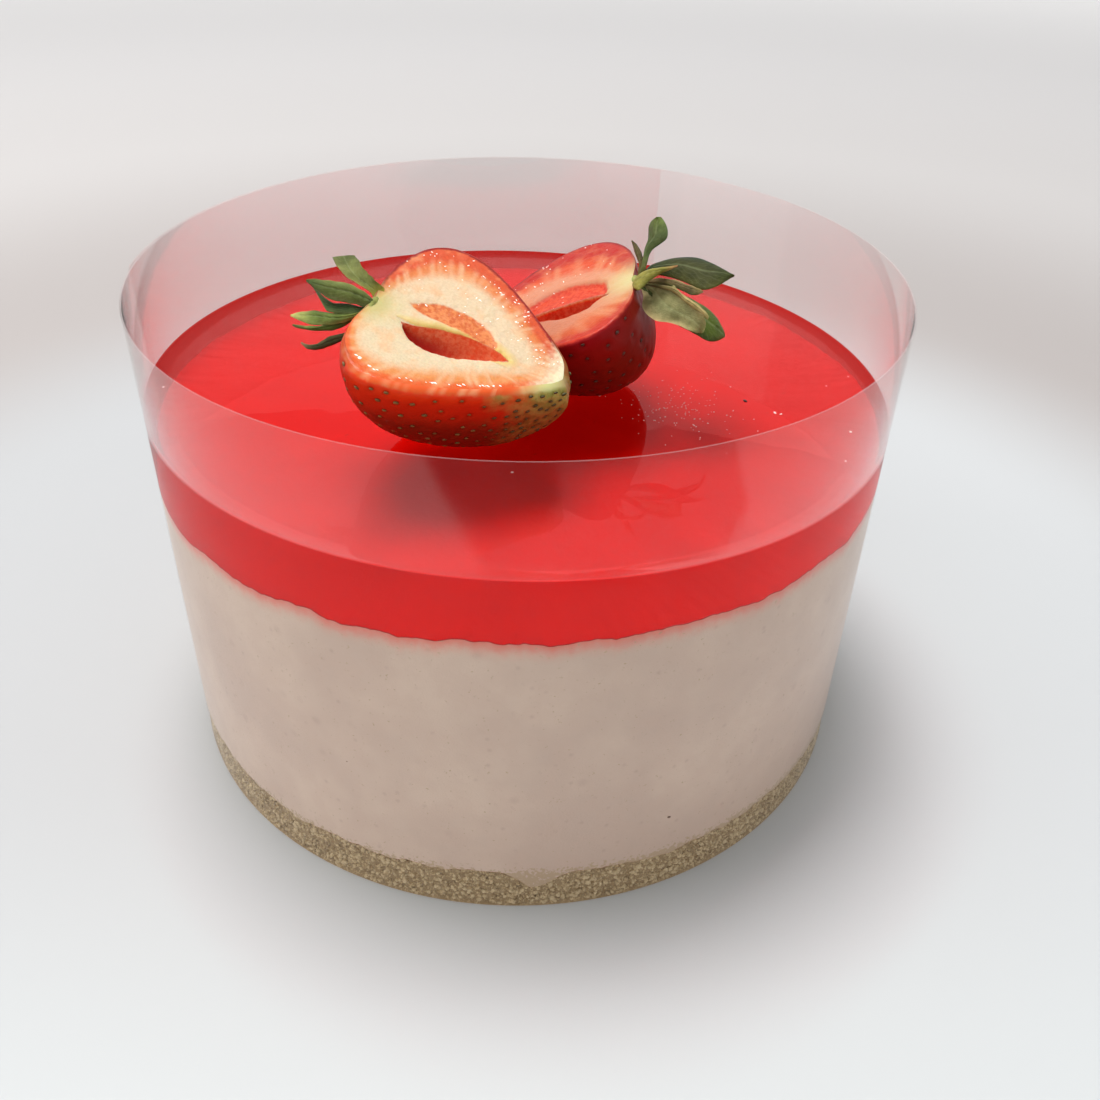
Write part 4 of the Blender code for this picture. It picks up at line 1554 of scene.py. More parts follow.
@dataclass
class BerryHalf:
    """Builds one half: the cut face, the hollow, the skin and the seeds."""

    shape: HalfShape
    flesh: FleshColours
    skin: SkinColours
    effects: Effects
    along: int = 130
    face_rings: int = 56
    hollow_rings: int = 14
    skin_steps: int = 120
    seed_size: tuple = (0.00046, 0.00030, 0.00020)
    glint_dot_size: tuple = (0.00024, 0.00009, 0.00009)
    dimple: float = 0.00030
    dimple_reach: float = 0.00070
    lump: float = 0.00022
    seed_tries: int = 9000
    seeds_down_to: float = 0.004
    contact_band: float = 0.0003
    outline_length: float = field(init=False, default=0.0)
    contact: np.ndarray = field(init=False, default_factory=lambda: np.zeros((0, 2)))
    shares: np.ndarray = field(init=False)
    seeds: list = field(init=False, default_factory=list)

    def __post_init__(self) -> None:
        """Spaces the rows from crown to tip evenly along the outline."""
        raw = np.linspace(0.0, 1.0, 1500) ** 1.6
        rim = np.array([self.shape.skin_point(t, 0.0)[:2] for t in raw])
        steps = travelled(rim)
        self.shares = np.interp(np.linspace(0.0, steps[-1], self.along), steps, raw)
        self.shares[0], self.shares[-1] = 0.0, 1.0
        self.outline_length = steps[-1]

    def rim(self, around: float) -> np.ndarray:
        """One side of the cut face's outline, crown to tip."""
        return np.array([self.shape.skin_point(t, around) for t in self.shares])

    def rim_radius(self, row: np.ndarray) -> np.ndarray:
        """How far the edge between cut face and skin is rounded at each point of a row.

        Args:
            row: The row's points, in the half's frame.

        Returns:
            The radius at each point, in metres.
        """
        shape = self.shape
        radius = shape.far_rim + (shape.near_rim - shape.far_rim) * shape.nearness(row)
        share = shape.along(row)
        tip = np.clip((share - 0.86) / 0.12, 0.0, 1.0)
        radius = radius + (shape.tip_rim - radius) * tip * tip
        return radius * np.clip(share / 0.10, 0.15, 1.0)

    def round_rim(self, row: np.ndarray) -> np.ndarray:
        """Draws a row of the skin inwards near the cut face.

        Args:
            row: The row's points, in the half's frame.

        Returns:
            The moved row.
        """
        radius = self.rim_radius(row)
        down = np.clip(-row[:, 2], 0.0, radius)
        cut = radius - np.sqrt(np.maximum(0.0, radius**2 - (radius - down) ** 2))
        length = self.shape.length
        target = np.c_[np.clip(row[:, 0], -0.26 * length, 0.24 * length), np.zeros(len(row))]
        toward = target - row[:, :2]
        toward /= np.maximum(np.linalg.norm(toward, axis=1), 1e-9)[:, None]
        moved = row.copy()
        moved[:, :2] += toward * cut[:, None]
        return moved

    def make_seeds(self) -> None:
        """Scatters seeds on the skin, closer together near the tip."""
        shape = self.shape
        draw = np.random.default_rng(shape.seed)
        taken = self.seeds
        for _ in range(self.seed_tries):
            t, around = draw.uniform(0.03, 0.985), draw.uniform(0.06, math.pi - 0.06)
            point = shape.skin_point(t, around)
            share = shape.along(point)
            toward_tip = max(0.0, min(1.0, (share - 0.62) / 0.28))
            gap = shape.seed_gap + (shape.tip_gap - shape.seed_gap) * toward_tip
            if -point[2] < 0.0007 or share < 0.07:
                continue
            if shape.put(point)[2] < SHAPE.jelly_height - self.seeds_down_to:
                continue
            if any(np.linalg.norm(point - other[0]) < gap for other in taken):
                continue
            down = shape.skin_point(t + 0.004, around) - point
            over = shape.skin_point(t, around + 0.01) - point
            out = np.cross(over, down)
            out /= np.linalg.norm(out)
            if out @ (point - np.array((point[0], 0.0, 0.0))) < 0.0:
                out = -out
            down /= np.linalg.norm(down)
            taken.append((point, out, down, share))

    def relief(self, points: np.ndarray) -> np.ndarray:
        """How far the skin lies under its smooth shape at each point.

        Args:
            points: Points of the skin, in the half's frame.

        Returns:
            The depth at each point, in metres.
        """
        lumps = wanders(points / 0.0075 + self.shape.seed)
        small = wanders(points / 0.0021 - self.shape.seed)
        return self.dimple * self.pits(points) - self.lump * (lumps + 0.55 * small)

    def pits(self, points: np.ndarray) -> np.ndarray:
        """How deep each point lies in the dimple of a seed, 0 to 1.

        Args:
            points: Points of the skin, in the half's frame.

        Returns:
            The depth of each point as a share.
        """
        deepest = np.zeros(len(points))
        for point, _, _, _ in self.seeds:
            near = np.linalg.norm(points - point, axis=1)
            deepest = np.maximum(deepest, np.exp(-((near / self.dimple_reach) ** 2)))
        return deepest

    def make_skin(self) -> np.ndarray:
        """The skin grid, rim to rim.

        Returns:
            The points by row and column, in the half's frame.
        """
        start = np.array((0.0, 0.0035, 0.008, 0.013, 0.019, 0.026, 0.035, 0.046, 0.060))
        middle = np.linspace(0.075, math.pi - 0.075, self.skin_steps - 2 * len(start))
        arounds = np.r_[start, middle, math.pi - start[::-1]]
        grid = np.array([self.round_rim(self.rim(around)) for around in arounds])
        flat = grid.reshape(-1, 3)
        normals = self.grid_normals(grid).reshape(-1, 3)
        soften = np.clip(0.5 - flat[:, 2] / 0.0016, 0.0, 1.0)
        moved = (flat - normals * (self.relief(flat) * soften)[:, None]).reshape(grid.shape)
        moved[0, :, 2] = moved[-1, :, 2] = 0.0
        return moved

    @staticmethod
    def grid_normals(grid: np.ndarray) -> np.ndarray:
        """Unit directions outwards from the skin grid.

        Args:
            grid: The skin's points, by row and column.

        Returns:
            A direction for each point.
        """
        over = np.gradient(grid, axis=0)
        down = np.gradient(grid, axis=1)
        out = np.cross(over, down)
        out /= np.maximum(np.linalg.norm(out, axis=2), 1e-12)[:, :, None]
        middle = grid.mean(axis=(0, 1))
        if (out * (grid - middle)).sum() < 0.0:
            out = -out
        return out

    def build(self) -> None:
        """Builds the half with its seeds and its dots of painted glint."""
        shape = self.shape
        self.make_seeds()
        skin = self.make_skin()
        rows, columns = skin.shape[:2]
        outline = round_trip(skin[0, :, :2], skin[-1, :, :2])
        far, near = (smooth_line(line, columns) for line in (shape.far_edge, shape.near_edge))
        edge = round_trip(near, far) if shape.near_side is Side.PLUS else round_trip(far, near)
        for axis, layer in enumerate((3.0, 8.0)):
            edge[:, axis] += 0.00018 * wanders(edge / 0.0011, layer)
        spine = far + (near - far) * shape.floor_share
        arc = np.linspace(0.0, self.outline_length, columns)
        face, caves = self.make_face(outline, edge, round_trip(spine, spine))
        values = self.face_values(face, caves, outline, edge)
        on_face = (caves == 0.0) & (values["margin"] > 0.0)
        face[:, 2] += np.where(on_face, self.face_height(face, values), 0.0)
        rings = len(face) // len(outline)
        flat = skin.reshape(-1, 3)
        everything = np.concatenate([face, flat])
        spokes = np.tile(round_trip(arc, arc), rings)
        values["spoke"] = np.concatenate([spokes, np.tile(arc, rows)])
        both = self.shared_values(everything)
        for key, numbers in values.items():
            beyond = 1.0 if key == "band" else 0.0
            both[key] = np.r_[numbers, np.full(len(everything) - len(numbers), beyond)]
        faces = grid_faces(rings, len(outline), closed=True)
        skin_faces = grid_faces(rows, columns, start=len(face))
        flesh = FleshFinish(shape, self.flesh).make(self.effects)
        place = shape.put(everything)
        piece = add_piece(shape.name + "_body", place, faces + skin_faces, flesh, both)
        piece.data.materials.append(SkinFinish(shape, self.skin).make(self.effects))
        marks = np.repeat((0, 1), (len(faces), len(skin_faces))).astype(np.int32)
        piece.data.polygons.foreach_set("material_index", marks)
        weld(piece, within=2e-6)
        self.soften_tip(piece)
        smooth(piece, sharp_degrees=60.0)
        hand_over(piece, shape.name, shape.name)
        placed = shape.put(flat)
        levels = np.array([SHAPE.jelly_level(x, y) for x, y, _ in placed])
        self.contact = placed[np.abs(placed[:, 2] - levels) < self.contact_band][:, :2]
        self.build_seeds()
        self.build_glint_dots(outline, edge)

    def make_face(
        self, outline: np.ndarray, edge: np.ndarray, spine: np.ndarray
    ) -> tuple[np.ndarray, np.ndarray]:
        """The points of the hollow, from its floor up, and of the cut face, out to its rim.

        Args:
            outline: The outline of the face.
            edge: The edge of the hollow.
            spine: The deepest line of the hollow, there and back.

        Returns:
            The points, and how deep in the hollow each lies, 0 to 1.
        """
        points, caves = [], []
        run = np.sin(math.pi * np.linspace(0.0, 1.0, len(outline) // 2 + 1)) ** 0.55
        fall = round_trip(run, run)
        for step in range(self.hollow_rings, 0, -1):
            angle = math.pi / 2.0 * step / self.hollow_rings
            ring = spine + (edge - spine) * math.cos(angle) ** 0.8
            depth = -self.shape.hollow_depth * fall * math.sin(angle) ** 1.15
            points.append(np.c_[ring, depth])
            caves.append(step / self.hollow_rings)
        for step in range(self.face_rings + 1):
            ring = edge + (outline - edge) * (step / self.face_rings)
            points.append(np.c_[ring, np.zeros(len(outline))])
            caves.append(0.0)
        return np.concatenate(points), np.repeat(caves, len(outline))

    def soften_tip(self, piece: Object, rounds: int = 46) -> None:
        """Rounds off the tip, where cut face and skin run together.

        Args:
            piece: The half.
            rounds: How often its points are smoothed.
        """
        shape = self.shape
        tip = Vector(shape.put(shape.skin_point(1.0, 0.0)[None])[0])
        body = bmesh.new()
        body.from_mesh(piece.data)
        point = [vert for vert in body.verts if (vert.co - tip).length < 0.0005]
        bmesh.ops.remove_doubles(body, verts=point, dist=0.00006)
        open_edges = [edge for edge in body.edges if edge.is_boundary]
        LOG.info("%s: %d open edges closed at the tip", piece.name, len(open_edges))
        closed = bmesh.ops.holes_fill(body, edges=open_edges, sides=0)["faces"]
        for face in closed:
            face.material_index = 1
        bmesh.ops.triangulate(body, faces=closed)
        for step in range(rounds):
            reach = shape.tip_reach * (1.0 - 0.55 * step / rounds)
            near = [vert for vert in body.verts if (vert.co - tip).length < reach]
            bmesh.ops.smooth_vert(
                body, verts=near, factor=0.5, use_axis_x=True, use_axis_y=True, use_axis_z=True
            )
        body.to_mesh(piece.data)
        body.free()

    def face_values(
        self, face: np.ndarray, caves: np.ndarray, outline: np.ndarray, edge: np.ndarray
    ) -> dict[str, np.ndarray]:
        """Works out the values that colour the cut face.

        Args:
            face: The points of the face and the hollow.
            caves: How deep in the hollow each point lies, 0 to 1.
            outline: The outline of the face.
            edge: The edge of the hollow.

        Returns:
            A number for each point, by name.
        """
        shape, flat = self.shape, face[:, :2]
        cream = edge_distance(flat, smooth_line(shape.cream + shape.cream[:1], 160)[:-1])
        rim = np.maximum(-edge_distance(flat, outline), 0.0)
        outside = cream / np.maximum(cream + rim, 1e-5)
        band = np.where(cream > 0.0, outside, cream / 0.006)
        lens = self.lens_share(flat)
        hollow = edge_distance(flat, edge)
        far_side = (flat[:, 1] * shape.near_side) < (edge[:, 1].mean() * shape.near_side)
        ridge = np.clip(1.0 - hollow / 0.0022, 0.0, 1.0) * far_side * shape.ridge
        values = {"band": band, "lens": lens * (caves == 0.0), "ridge": ridge, "cave": caves}
        return values | {"margin": rim / MM, "hollow": hollow / MM}

    def face_height(self, face: np.ndarray, values: dict[str, np.ndarray]) -> np.ndarray:
        """The low relief of the cut face, in metres.

        Args:
            face: The points of the face.
            values: The values of each point, by name.

        Returns:
            The height of each point.
        """
        shape = self.shape
        lip = -0.00030 * np.exp(-values["hollow"] / 0.5)
        ridge = 0.00040 * values["ridge"] * (1.0 - np.exp(-values["hollow"] / 0.6))
        lens = -shape.lens_sink * values["lens"]
        far = np.clip(0.5 - face[:, 1] * shape.near_side / 0.006, 0.0, 1.0)
        slow = wanders(face[:, :2] / 0.0021, 5.0)
        fine = wanders(face[:, :2] / 0.0009, 2.0)
        calm = np.clip(values["margin"] / 1.5, 0.0, 1.0)
        return (lip + ridge + lens + 0.00012 * slow + 0.00010 * fine * far) * calm

    def shared_values(self, points: np.ndarray) -> dict[str, np.ndarray]:
        """The values that colour both the face and the skin, for each point in the half's frame.

        Args:
            points: The points, in the half's frame.

        Returns:
            A number for each point, by name.
        """
        shape = self.shape
        share = shape.along(points)
        crown = np.array(((0.02 - shape.crown_share) * shape.length, shape.crown_at, -0.0005))
        off = np.linalg.norm(points - crown, axis=1)
        edge = -points[:, 2] - shape.flesh_depth * (shape.nearness(points) * 1.25 - 0.25)
        return {
            "under": np.maximum(-points[:, 2], 0.0) / MM,
            "edge": edge / MM,
            "pit": self.pits(points),
            "tip": np.clip((share - 0.70) / 0.26, 0.0, 1.0),
            "end": np.clip((share - 0.60) / 0.37, 0.0, 1.0),
            "neck": np.exp(-((off / shape.neck_reach) ** 2)),
            "nape": np.exp(-((off / shape.nape) ** 2)),
        }

    def build_seeds(self) -> None:
        """Places one seed in each dimple."""
        shape, turn = self.shape, self.shape.turn()
        points, turns = [], []
        for point, out, down, _ in self.seeds:
            points.append(shape.put(point - out * (self.dimple * 0.75)))
            axes = turn @ np.stack([down, np.cross(out, down), out], 1)
            turns.append(tuple(Matrix(axes.tolist()).to_euler()))
        finish = self.make_seed_finish()
        shares = {"share": [seed[3] for seed in self.seeds]}
        piece = add_piece(shape.name + "_seeds", np.array(points), [], finish, shares)
        set_turns(piece, np.array(turns))
        scatter_ovals(piece, self.seed_size, uneven=0.18, seed=shape.seed, finish=finish)
        hand_over(piece, shape.name)

    def build_glint_dots(self, outline: np.ndarray, edge: np.ndarray) -> None:
        """Small white dots on the cut face and along its near rim: painted glints, for light caught
        on the wet flesh.

        Args:
            outline: The outline of the cut face.
            edge: The edge of the hollow.
        """
        shape = self.shape
        draw = np.random.default_rng(shape.seed + 40)
        spots = draw.uniform(outline.min(axis=0), outline.max(axis=0), (shape.glint_dots * 9, 2))
        inside = -edge_distance(spots, outline)
        off = edge_distance(spots, edge)
        far = np.clip(0.35 - spots[:, 1] * shape.near_side / 0.009, 0.02, 1.0)
        patch = 0.5 + 1.6 * wanders(spots / 0.0028, 6.0 + shape.seed)
        wanted = far * far * patch * np.clip(1.0 - 0.6 * inside / 0.012, 0.2, 1.0)
        wanted += 0.5 * self.lens_share(spots) * patch
        wanted *= np.clip(0.75 + spots[:, 0] / 0.016, 0.25, 1.2)
        keep = (inside > 0.0003) & (off > 0.0002) & (draw.uniform(0.0, 1.0, len(spots)) < wanted)
        spots = spots[keep][: shape.glint_dots]
        depth = -shape.lens_sink * self.lens_share(spots) - 0.00008
        spin = np.tile((shape.roll, shape.pitch, 0.0), (len(spots), 1))
        spin[:, 2] = draw.uniform(-math.pi, math.pi, len(spots))
        # A broken line of painted glints along the near rim, for the highlight on its rounded edge.
        near = outline[:, 1] * shape.near_side > 0.0
        line = outline[near & (np.abs(outline[:, 0] + 0.001) < 0.012)]
        line = line[draw.integers(0, len(line), shape.rim_glint_dots)]
        line = line[[wander(x / 0.0018, 1.7, 5.2) > -0.15 for x in line[:, 0]]]
        inset = np.c_[line[:, 0] * 0.99, line[:, 1] * 0.925 + draw.normal(0.0, 0.00014, len(line))]
        spots, depth = np.r_[spots, inset], np.r_[depth, np.full(len(line), 0.00002)]
        spin = np.r_[spin, np.tile((shape.roll, shape.pitch, shape.heading), (len(line), 1))]
        finish = self.make_glint_dot_finish()
        piece = add_piece(shape.name + "_beads", shape.put(np.c_[spots, depth]), [], finish)
        set_turns(piece, spin)
        scatter_ovals(piece, self.glint_dot_size, uneven=0.65, seed=shape.seed, finish=finish)
        hand_over(piece, shape.name)

    def lens_share(self, flat: np.ndarray) -> np.ndarray:
        """1 in the translucent core beside the hollow, 0 away from it."""
        corners = smooth_line(self.shape.lens + self.shape.lens[:1], 140)[:-1]
        return np.clip(0.5 - edge_distance(flat, corners) / 0.0012, 0.0, 1.0)

    @staticmethod
    def make_glint_dot_finish() -> Material:
        """Painted glint: white that also glows a little, for light caught in wet drops.

        Returns:
            The material.
        """
        glint = (1.0, 0.95, 0.88)
        wires = {"Base Color": glint, "Roughness": 0.2, "Coat Weight": 1.0}
        wires |= {"Emission Color": glint, "Emission Strength": 0.25}
        return Recipe("painted_glint").dress(wires)

    def make_seed_finish(self) -> Material:
        """Shiny seeds, from brown to olive at the tip.

        Returns:
            The material.
        """
        recipe = Recipe("seeds_of_" + self.shape.name)
        cloud = recipe.span(recipe.noise(recipe.place(), 500.0, 1.0), 0.3, 0.7, 0.0, 0.4)
        tip = recipe.span(recipe.attribute("share"), 0.62, 0.85)
        coats = (tip, self.skin.seed_tip), (cloud, paint(70, 34, 14))
        wires = {"Base Color": recipe.layers(self.skin.seed, *coats), "Roughness": 0.45}
        return recipe.dress(wires | {"Coat Weight": 0.10, "Coat Roughness": 0.2})


FRONT_HALF = HalfShape(
    name="strawberry_front",
    centre=(-0.0100, -0.0291, 0.0994),
    heading=math.radians(-18.3),
    pitch=math.radians(17.8),
    roll=math.radians(10.3),
    length=0.0401,
    width=0.0429,
    depth=0.02335,
    crown_power=0.477,
    width_power=0.776,
    depth_power=0.885,
    depth_round=0.408,
    crown_at=-0.0032,
    near_edge=(
        (-10.4, -4.6), (-8.9, -6.6), (-6.9, -8.0), (-3.9, -8.4), (-1.2, -8.1), (2.0, -6.6),
        (5.8, -4.3), (9.3, -2.0),
    ),
    far_edge=(
        (-10.4, -4.6), (-8.4, -3.9), (-4.1, -1.8), (1.1, -0.3), (5.0, -0.2), (7.7, -0.9),
        (9.3, -2.0),
    ),
    hollow_depth=0.0048,
    floor_share=0.62,
    lens=(
        (-11.3, 0.9), (-7.0, 4.4), (-1.2, 4.9), (3.4, 3.5), (6.9, -0.2), (6.2, -0.8), (1.0, 0.0),
        (-4.8, -0.3), (-9.7, -0.3),
    ),
    cream=(
        (-14.9, 4.2), (-11.8, 10.4), (-5.3, 14.0), (2.1, 11.1), (7.9, 7.1), (13.0, 2.5),
        (15.3, -1.7), (9.2, -5.5), (2.0, -10.9), (-5.3, -15.3), (-10.2, -16.6), (-14.3, -15.2),
        (-16.3, -9.0), (-16.2, -2.0),
    ),
    near_side=Side.MINUS,
    seed=11,
    ridge=1.0,
)
BACK_HALF = HalfShape(
    name="strawberry_back",
    centre=(0.0063, -0.0030, 0.0950),
    heading=math.radians(177.8),
    pitch=math.radians(24.3),
    roll=math.radians(-2.4),
    length=0.0392,
    width=0.04285,
    depth=0.02114,
    crown_power=0.60,
    width_power=0.75,
    depth_power=0.56,
    depth_round=0.50,
    crown_at=0.0042,
    near_edge=(
        (-11.2, 6.6), (-8.5, 7.6), (-7.0, 9.2), (-4.4, 9.6), (-1.2, 9.3), (3.0, 6.9), (7.2, 4.3),
    ),
    far_edge=(
        (-11.2, 6.6), (-9.6, 5.6), (-7.6, 4.7), (-4.4, 3.9), (-1.3, 3.5), (1.9, 3.1), (5.0, 3.3),
        (7.2, 4.3),
    ),
    hollow_depth=0.0046,
    floor_share=0.6,
    lens=(
        (-10.8, 0.6), (-7.5, -2.2), (-3.5, -4.0), (0.0, -4.1), (3.1, -3.4), (5.3, -2.0), (7.5, 1.5),
        (7.2, 4.3), (5.0, 3.3), (1.9, 3.1), (-1.3, 3.5), (-4.4, 3.9), (-7.6, 4.7), (-9.6, 5.6),
        (-11.2, 6.0),
    ),
    cream=(
        (-16.5, 5.0), (-15.0, 1.4), (-10.0, -5.5), (-3.5, -8.9), (3.2, -9.8), (8.5, -7.0),
        (11.5, -2.0), (12.0, 4.0), (9.0, 10.0), (4.0, 14.5), (-1.2, 15.6), (-5.3, 13.4),
        (-10.4, 11.2), (-15.5, 9.7),
    ),
    near_side=Side.PLUS,
    seed=23,
    near_rim=0.0008,
    tip_rim=0.0012,
    flesh_depth=0.0002,
    seed_gap=0.0029,
    lens_sink=0.0010,
    nape=0.0022,
    neck_reach=0.0062,
    rim_glint_dots=0,
    tip_reach=0.0030,
    glint_dots=80,
)
FRONT_FLESH = FleshColours(
    cream=paint(222, 202, 168),
    cream_far=paint(222, 198, 164),
    middle=paint(224, 144, 82),
    middle_far=paint(218, 124, 66),
    edge=paint(222, 96, 40),
    edge_far=paint(210, 80, 38),
    streak=paint(228, 190, 152),
    lens=paint(202, 98, 48),
    lens_pale=paint(224, 138, 82),
    hollow=paint(182, 34, 16),
    wall=paint(226, 96, 56),
    fuzz=paint(236, 142, 98),
    neck=paint(190, 182, 116),
    tip=paint(230, 222, 186),
    rays=370.0,
    ridge=paint(216, 186, 104),
)
BACK_FLESH = FleshColours(
    cream=paint(203, 129, 98),
    cream_far=paint(208, 138, 106),
    middle=paint(202, 90, 48),
    middle_far=paint(208, 72, 28),
    edge=paint(188, 44, 24),
    edge_far=paint(180, 28, 16),
    streak=paint(214, 148, 108),
    lens=paint(204, 58, 34),
    lens_pale=paint(218, 88, 58),
    hollow=paint(176, 34, 16),
    wall=paint(214, 64, 34),
    fuzz=paint(226, 98, 64),
    neck=paint(204, 192, 138),
    tip=paint(196, 94, 62),
    rays=210.0,
    blush=paint(210, 118, 74),
)
FRONT_SKIN = SkinColours(
    flesh=paint(224, 92, 42),
    streak=paint(236, 178, 130),
    rim=paint(236, 64, 22),
    side=paint(206, 46, 20),
    deep=paint(132, 38, 20),
    tip=paint(176, 184, 98),
    tip_low=paint(156, 112, 54),
    tip_flesh=paint(206, 204, 138),
    neck=paint(196, 188, 126),
    seed=paint(132, 100, 46),
    seed_tip=paint(74, 74, 30),
    rays=370.0,
    wet=0.12,
)
BACK_SKIN = SkinColours(
    flesh=paint(204, 60, 40),
    streak=paint(222, 126, 94),
    rim=paint(152, 16, 22),
    side=paint(142, 18, 14),
    deep=paint(118, 26, 14),
    tip=paint(170, 60, 30),
    tip_low=paint(130, 30, 20),
    tip_flesh=paint(202, 88, 58),
    neck=paint(206, 194, 132),
    seed=paint(74, 34, 18),
    seed_tip=paint(80, 44, 22),
    rays=210.0,
    wet=0.12,
)


# ---- the green crowns


@dataclass(frozen=True)
class Leaf:
    """One leaf between two edges, from base to tip in the frame of its half.

    The edges are x, y, z after x, y, z in millimetres. The colours, as on a screen, are those
    of the face, the low edge, the high edge, the base and the tip.
    """

    low: tuple
    high: tuple
    bulge: float
    ripple: float
    colours: tuple
    jag: float = 0.22


class LeafSide(IntEnum):
    """The two sides of a leaf, as the sign of their lift."""

    UPPER = 1
    UNDER = -1


FRONT_LEAVES = (
    Leaf(
        (
            -17.1, -1.6, 0.0, -18.7, -1.6, 0.6, -20.3, -1.9, 1.2, -22.2, -1.9, 1.4,
            -23.9, -1.4, 1.6, -26.0, 0.6, 0.9, -27.8, 2.8, 0.2,
        ),
        (
            -16.1, 1.4, 0.0, -17.5, 0.9, 0.8, -18.9, 0.7, 1.6, -20.3, 1.1, 1.9, -21.6, 1.6, 2.2,
            -23.2, 3.5, 1.5, -24.7, 5.2, 0.8,
        ),
        -0.7, 0.25,
        ((122, 127, 69), (153, 152, 88), (117, 117, 62), (181, 166, 49), (100, 108, 59)),
    ),
    Leaf(
        (
            -15.4, -4.0, -0.8, -17.0, -4.6, -0.6, -18.8, -5.0, -0.5, -20.6, -5.9, -0.4,
            -22.6, -6.8, -0.4, -24.7, -6.6, -0.5, -26.8, -5.5, -1.0, -29.0, -4.0, -1.4,
        ),
        (
            -16.4, -2.3, -0.3, -17.7, -2.3, 0.3, -19.5, -2.6, 1.0, -21.2, -2.8, 1.3,
            -23.0, -3.7, 1.5, -24.9, -4.7, 1.3, -27.2, -4.4, 0.3, -28.8, -4.6, -0.6,
        ),
        0.6, 0.30,
        ((100, 111, 55), (117, 122, 76), (140, 147, 80), (65, 75, 38), (76, 95, 46)),
    ),
    Leaf(
        (
            -15.8, -3.7, -1.4, -17.2, -5.3, -1.7, -18.8, -6.5, -1.9, -20.6, -7.4, -2.2,
            -22.3, -7.7, -2.4, -23.6, -7.2, -2.7, -26.0, -4.9, -2.9, -28.3, -2.7, -3.2,
        ),
        (
            -16.3, -3.4, -1.2, -18.2, -3.9, -1.4, -19.9, -4.6, -1.5, -21.5, -5.2, -1.8,
            -23.0, -5.7, -2.0, -24.5, -5.2, -2.3, -26.5, -3.7, -2.7, -28.6, -2.5, -3.0,
        ),
        0.3, 0.20,
        ((71, 91, 49), (122, 133, 82), (57, 71, 38), (62, 73, 36), (71, 88, 49)),
    ),
    Leaf(
        (
            -17.9, -5.8, -2.2, -18.8, -7.3, -2.6, -20.1, -8.6, -3.1, -21.5, -9.5, -3.5,
            -23.0, -10.2, -3.9, -24.8, -10.6, -4.3, -26.8, -10.5, -4.8, -28.5, -9.8, -5.2,
        ),
        (
            -17.8, -4.7, -1.6, -18.8, -6.0, -1.9, -20.0, -7.0, -2.1, -21.5, -7.4, -2.5,
            -23.4, -7.5, -2.9, -25.3, -8.1, -3.4, -27.2, -9.0, -4.1, -28.5, -10.0, -4.8,
        ),
        0.45, 0.20,
        ((110, 127, 59), (153, 166, 93), (90, 103, 50), (122, 127, 55), (217, 214, 127)),
    ),
    Leaf(
        (
            -18.2, -5.4, -3.0, -19.1, -7.4, -3.6, -20.0, -8.8, -4.2, -21.2, -9.9, -4.6,
            -22.8, -10.5, -5.0, -24.5, -10.9, -5.3, -26.0, -11.3, -5.7, -27.4, -10.9, -6.0,
        ),
        (
            -18.5, -5.1, -2.6, -19.7, -6.1, -3.0, -20.6, -7.5, -3.5, -21.6, -8.8, -3.8,
            -22.9, -9.9, -4.2, -24.4, -10.8, -4.6, -25.9, -11.1, -5.1, -27.4, -11.1, -5.6,
        ),
        0.3, 0.15,
        ((91, 110, 44), (65, 83, 38), (140, 153, 76), (116, 120, 53), (107, 111, 63)),
    ),
    Leaf(
        (
            -15.9, -6.6, -4.6, -17.8, -8.4, -5.6, -19.3, -9.8, -6.4, -20.1, -10.6, -6.8,
            -20.9, -11.1, -7.3, -21.5, -11.8, -7.6, -22.3, -12.3, -8.0, -23.4, -12.2, -8.3,
            -24.3, -11.8, -8.7, -25.5, -10.9, -9.0,
        ),
        (
            -16.0, -6.2, -3.8, -18.2, -7.9, -4.4, -19.8, -9.2, -5.0, -20.7, -9.7, -5.4,
            -21.4, -10.3, -5.9, -21.7, -11.0, -6.4, -22.3, -11.4, -7.0, -23.2, -11.7, -7.6,
            -24.2, -11.7, -8.1, -25.4, -11.1, -8.6,
        ),
        0.25, 0.10,
        ((74, 75, 44), (57, 59, 36), (107, 108, 69), (64, 63, 36), (153, 136, 91)),
    ),
)
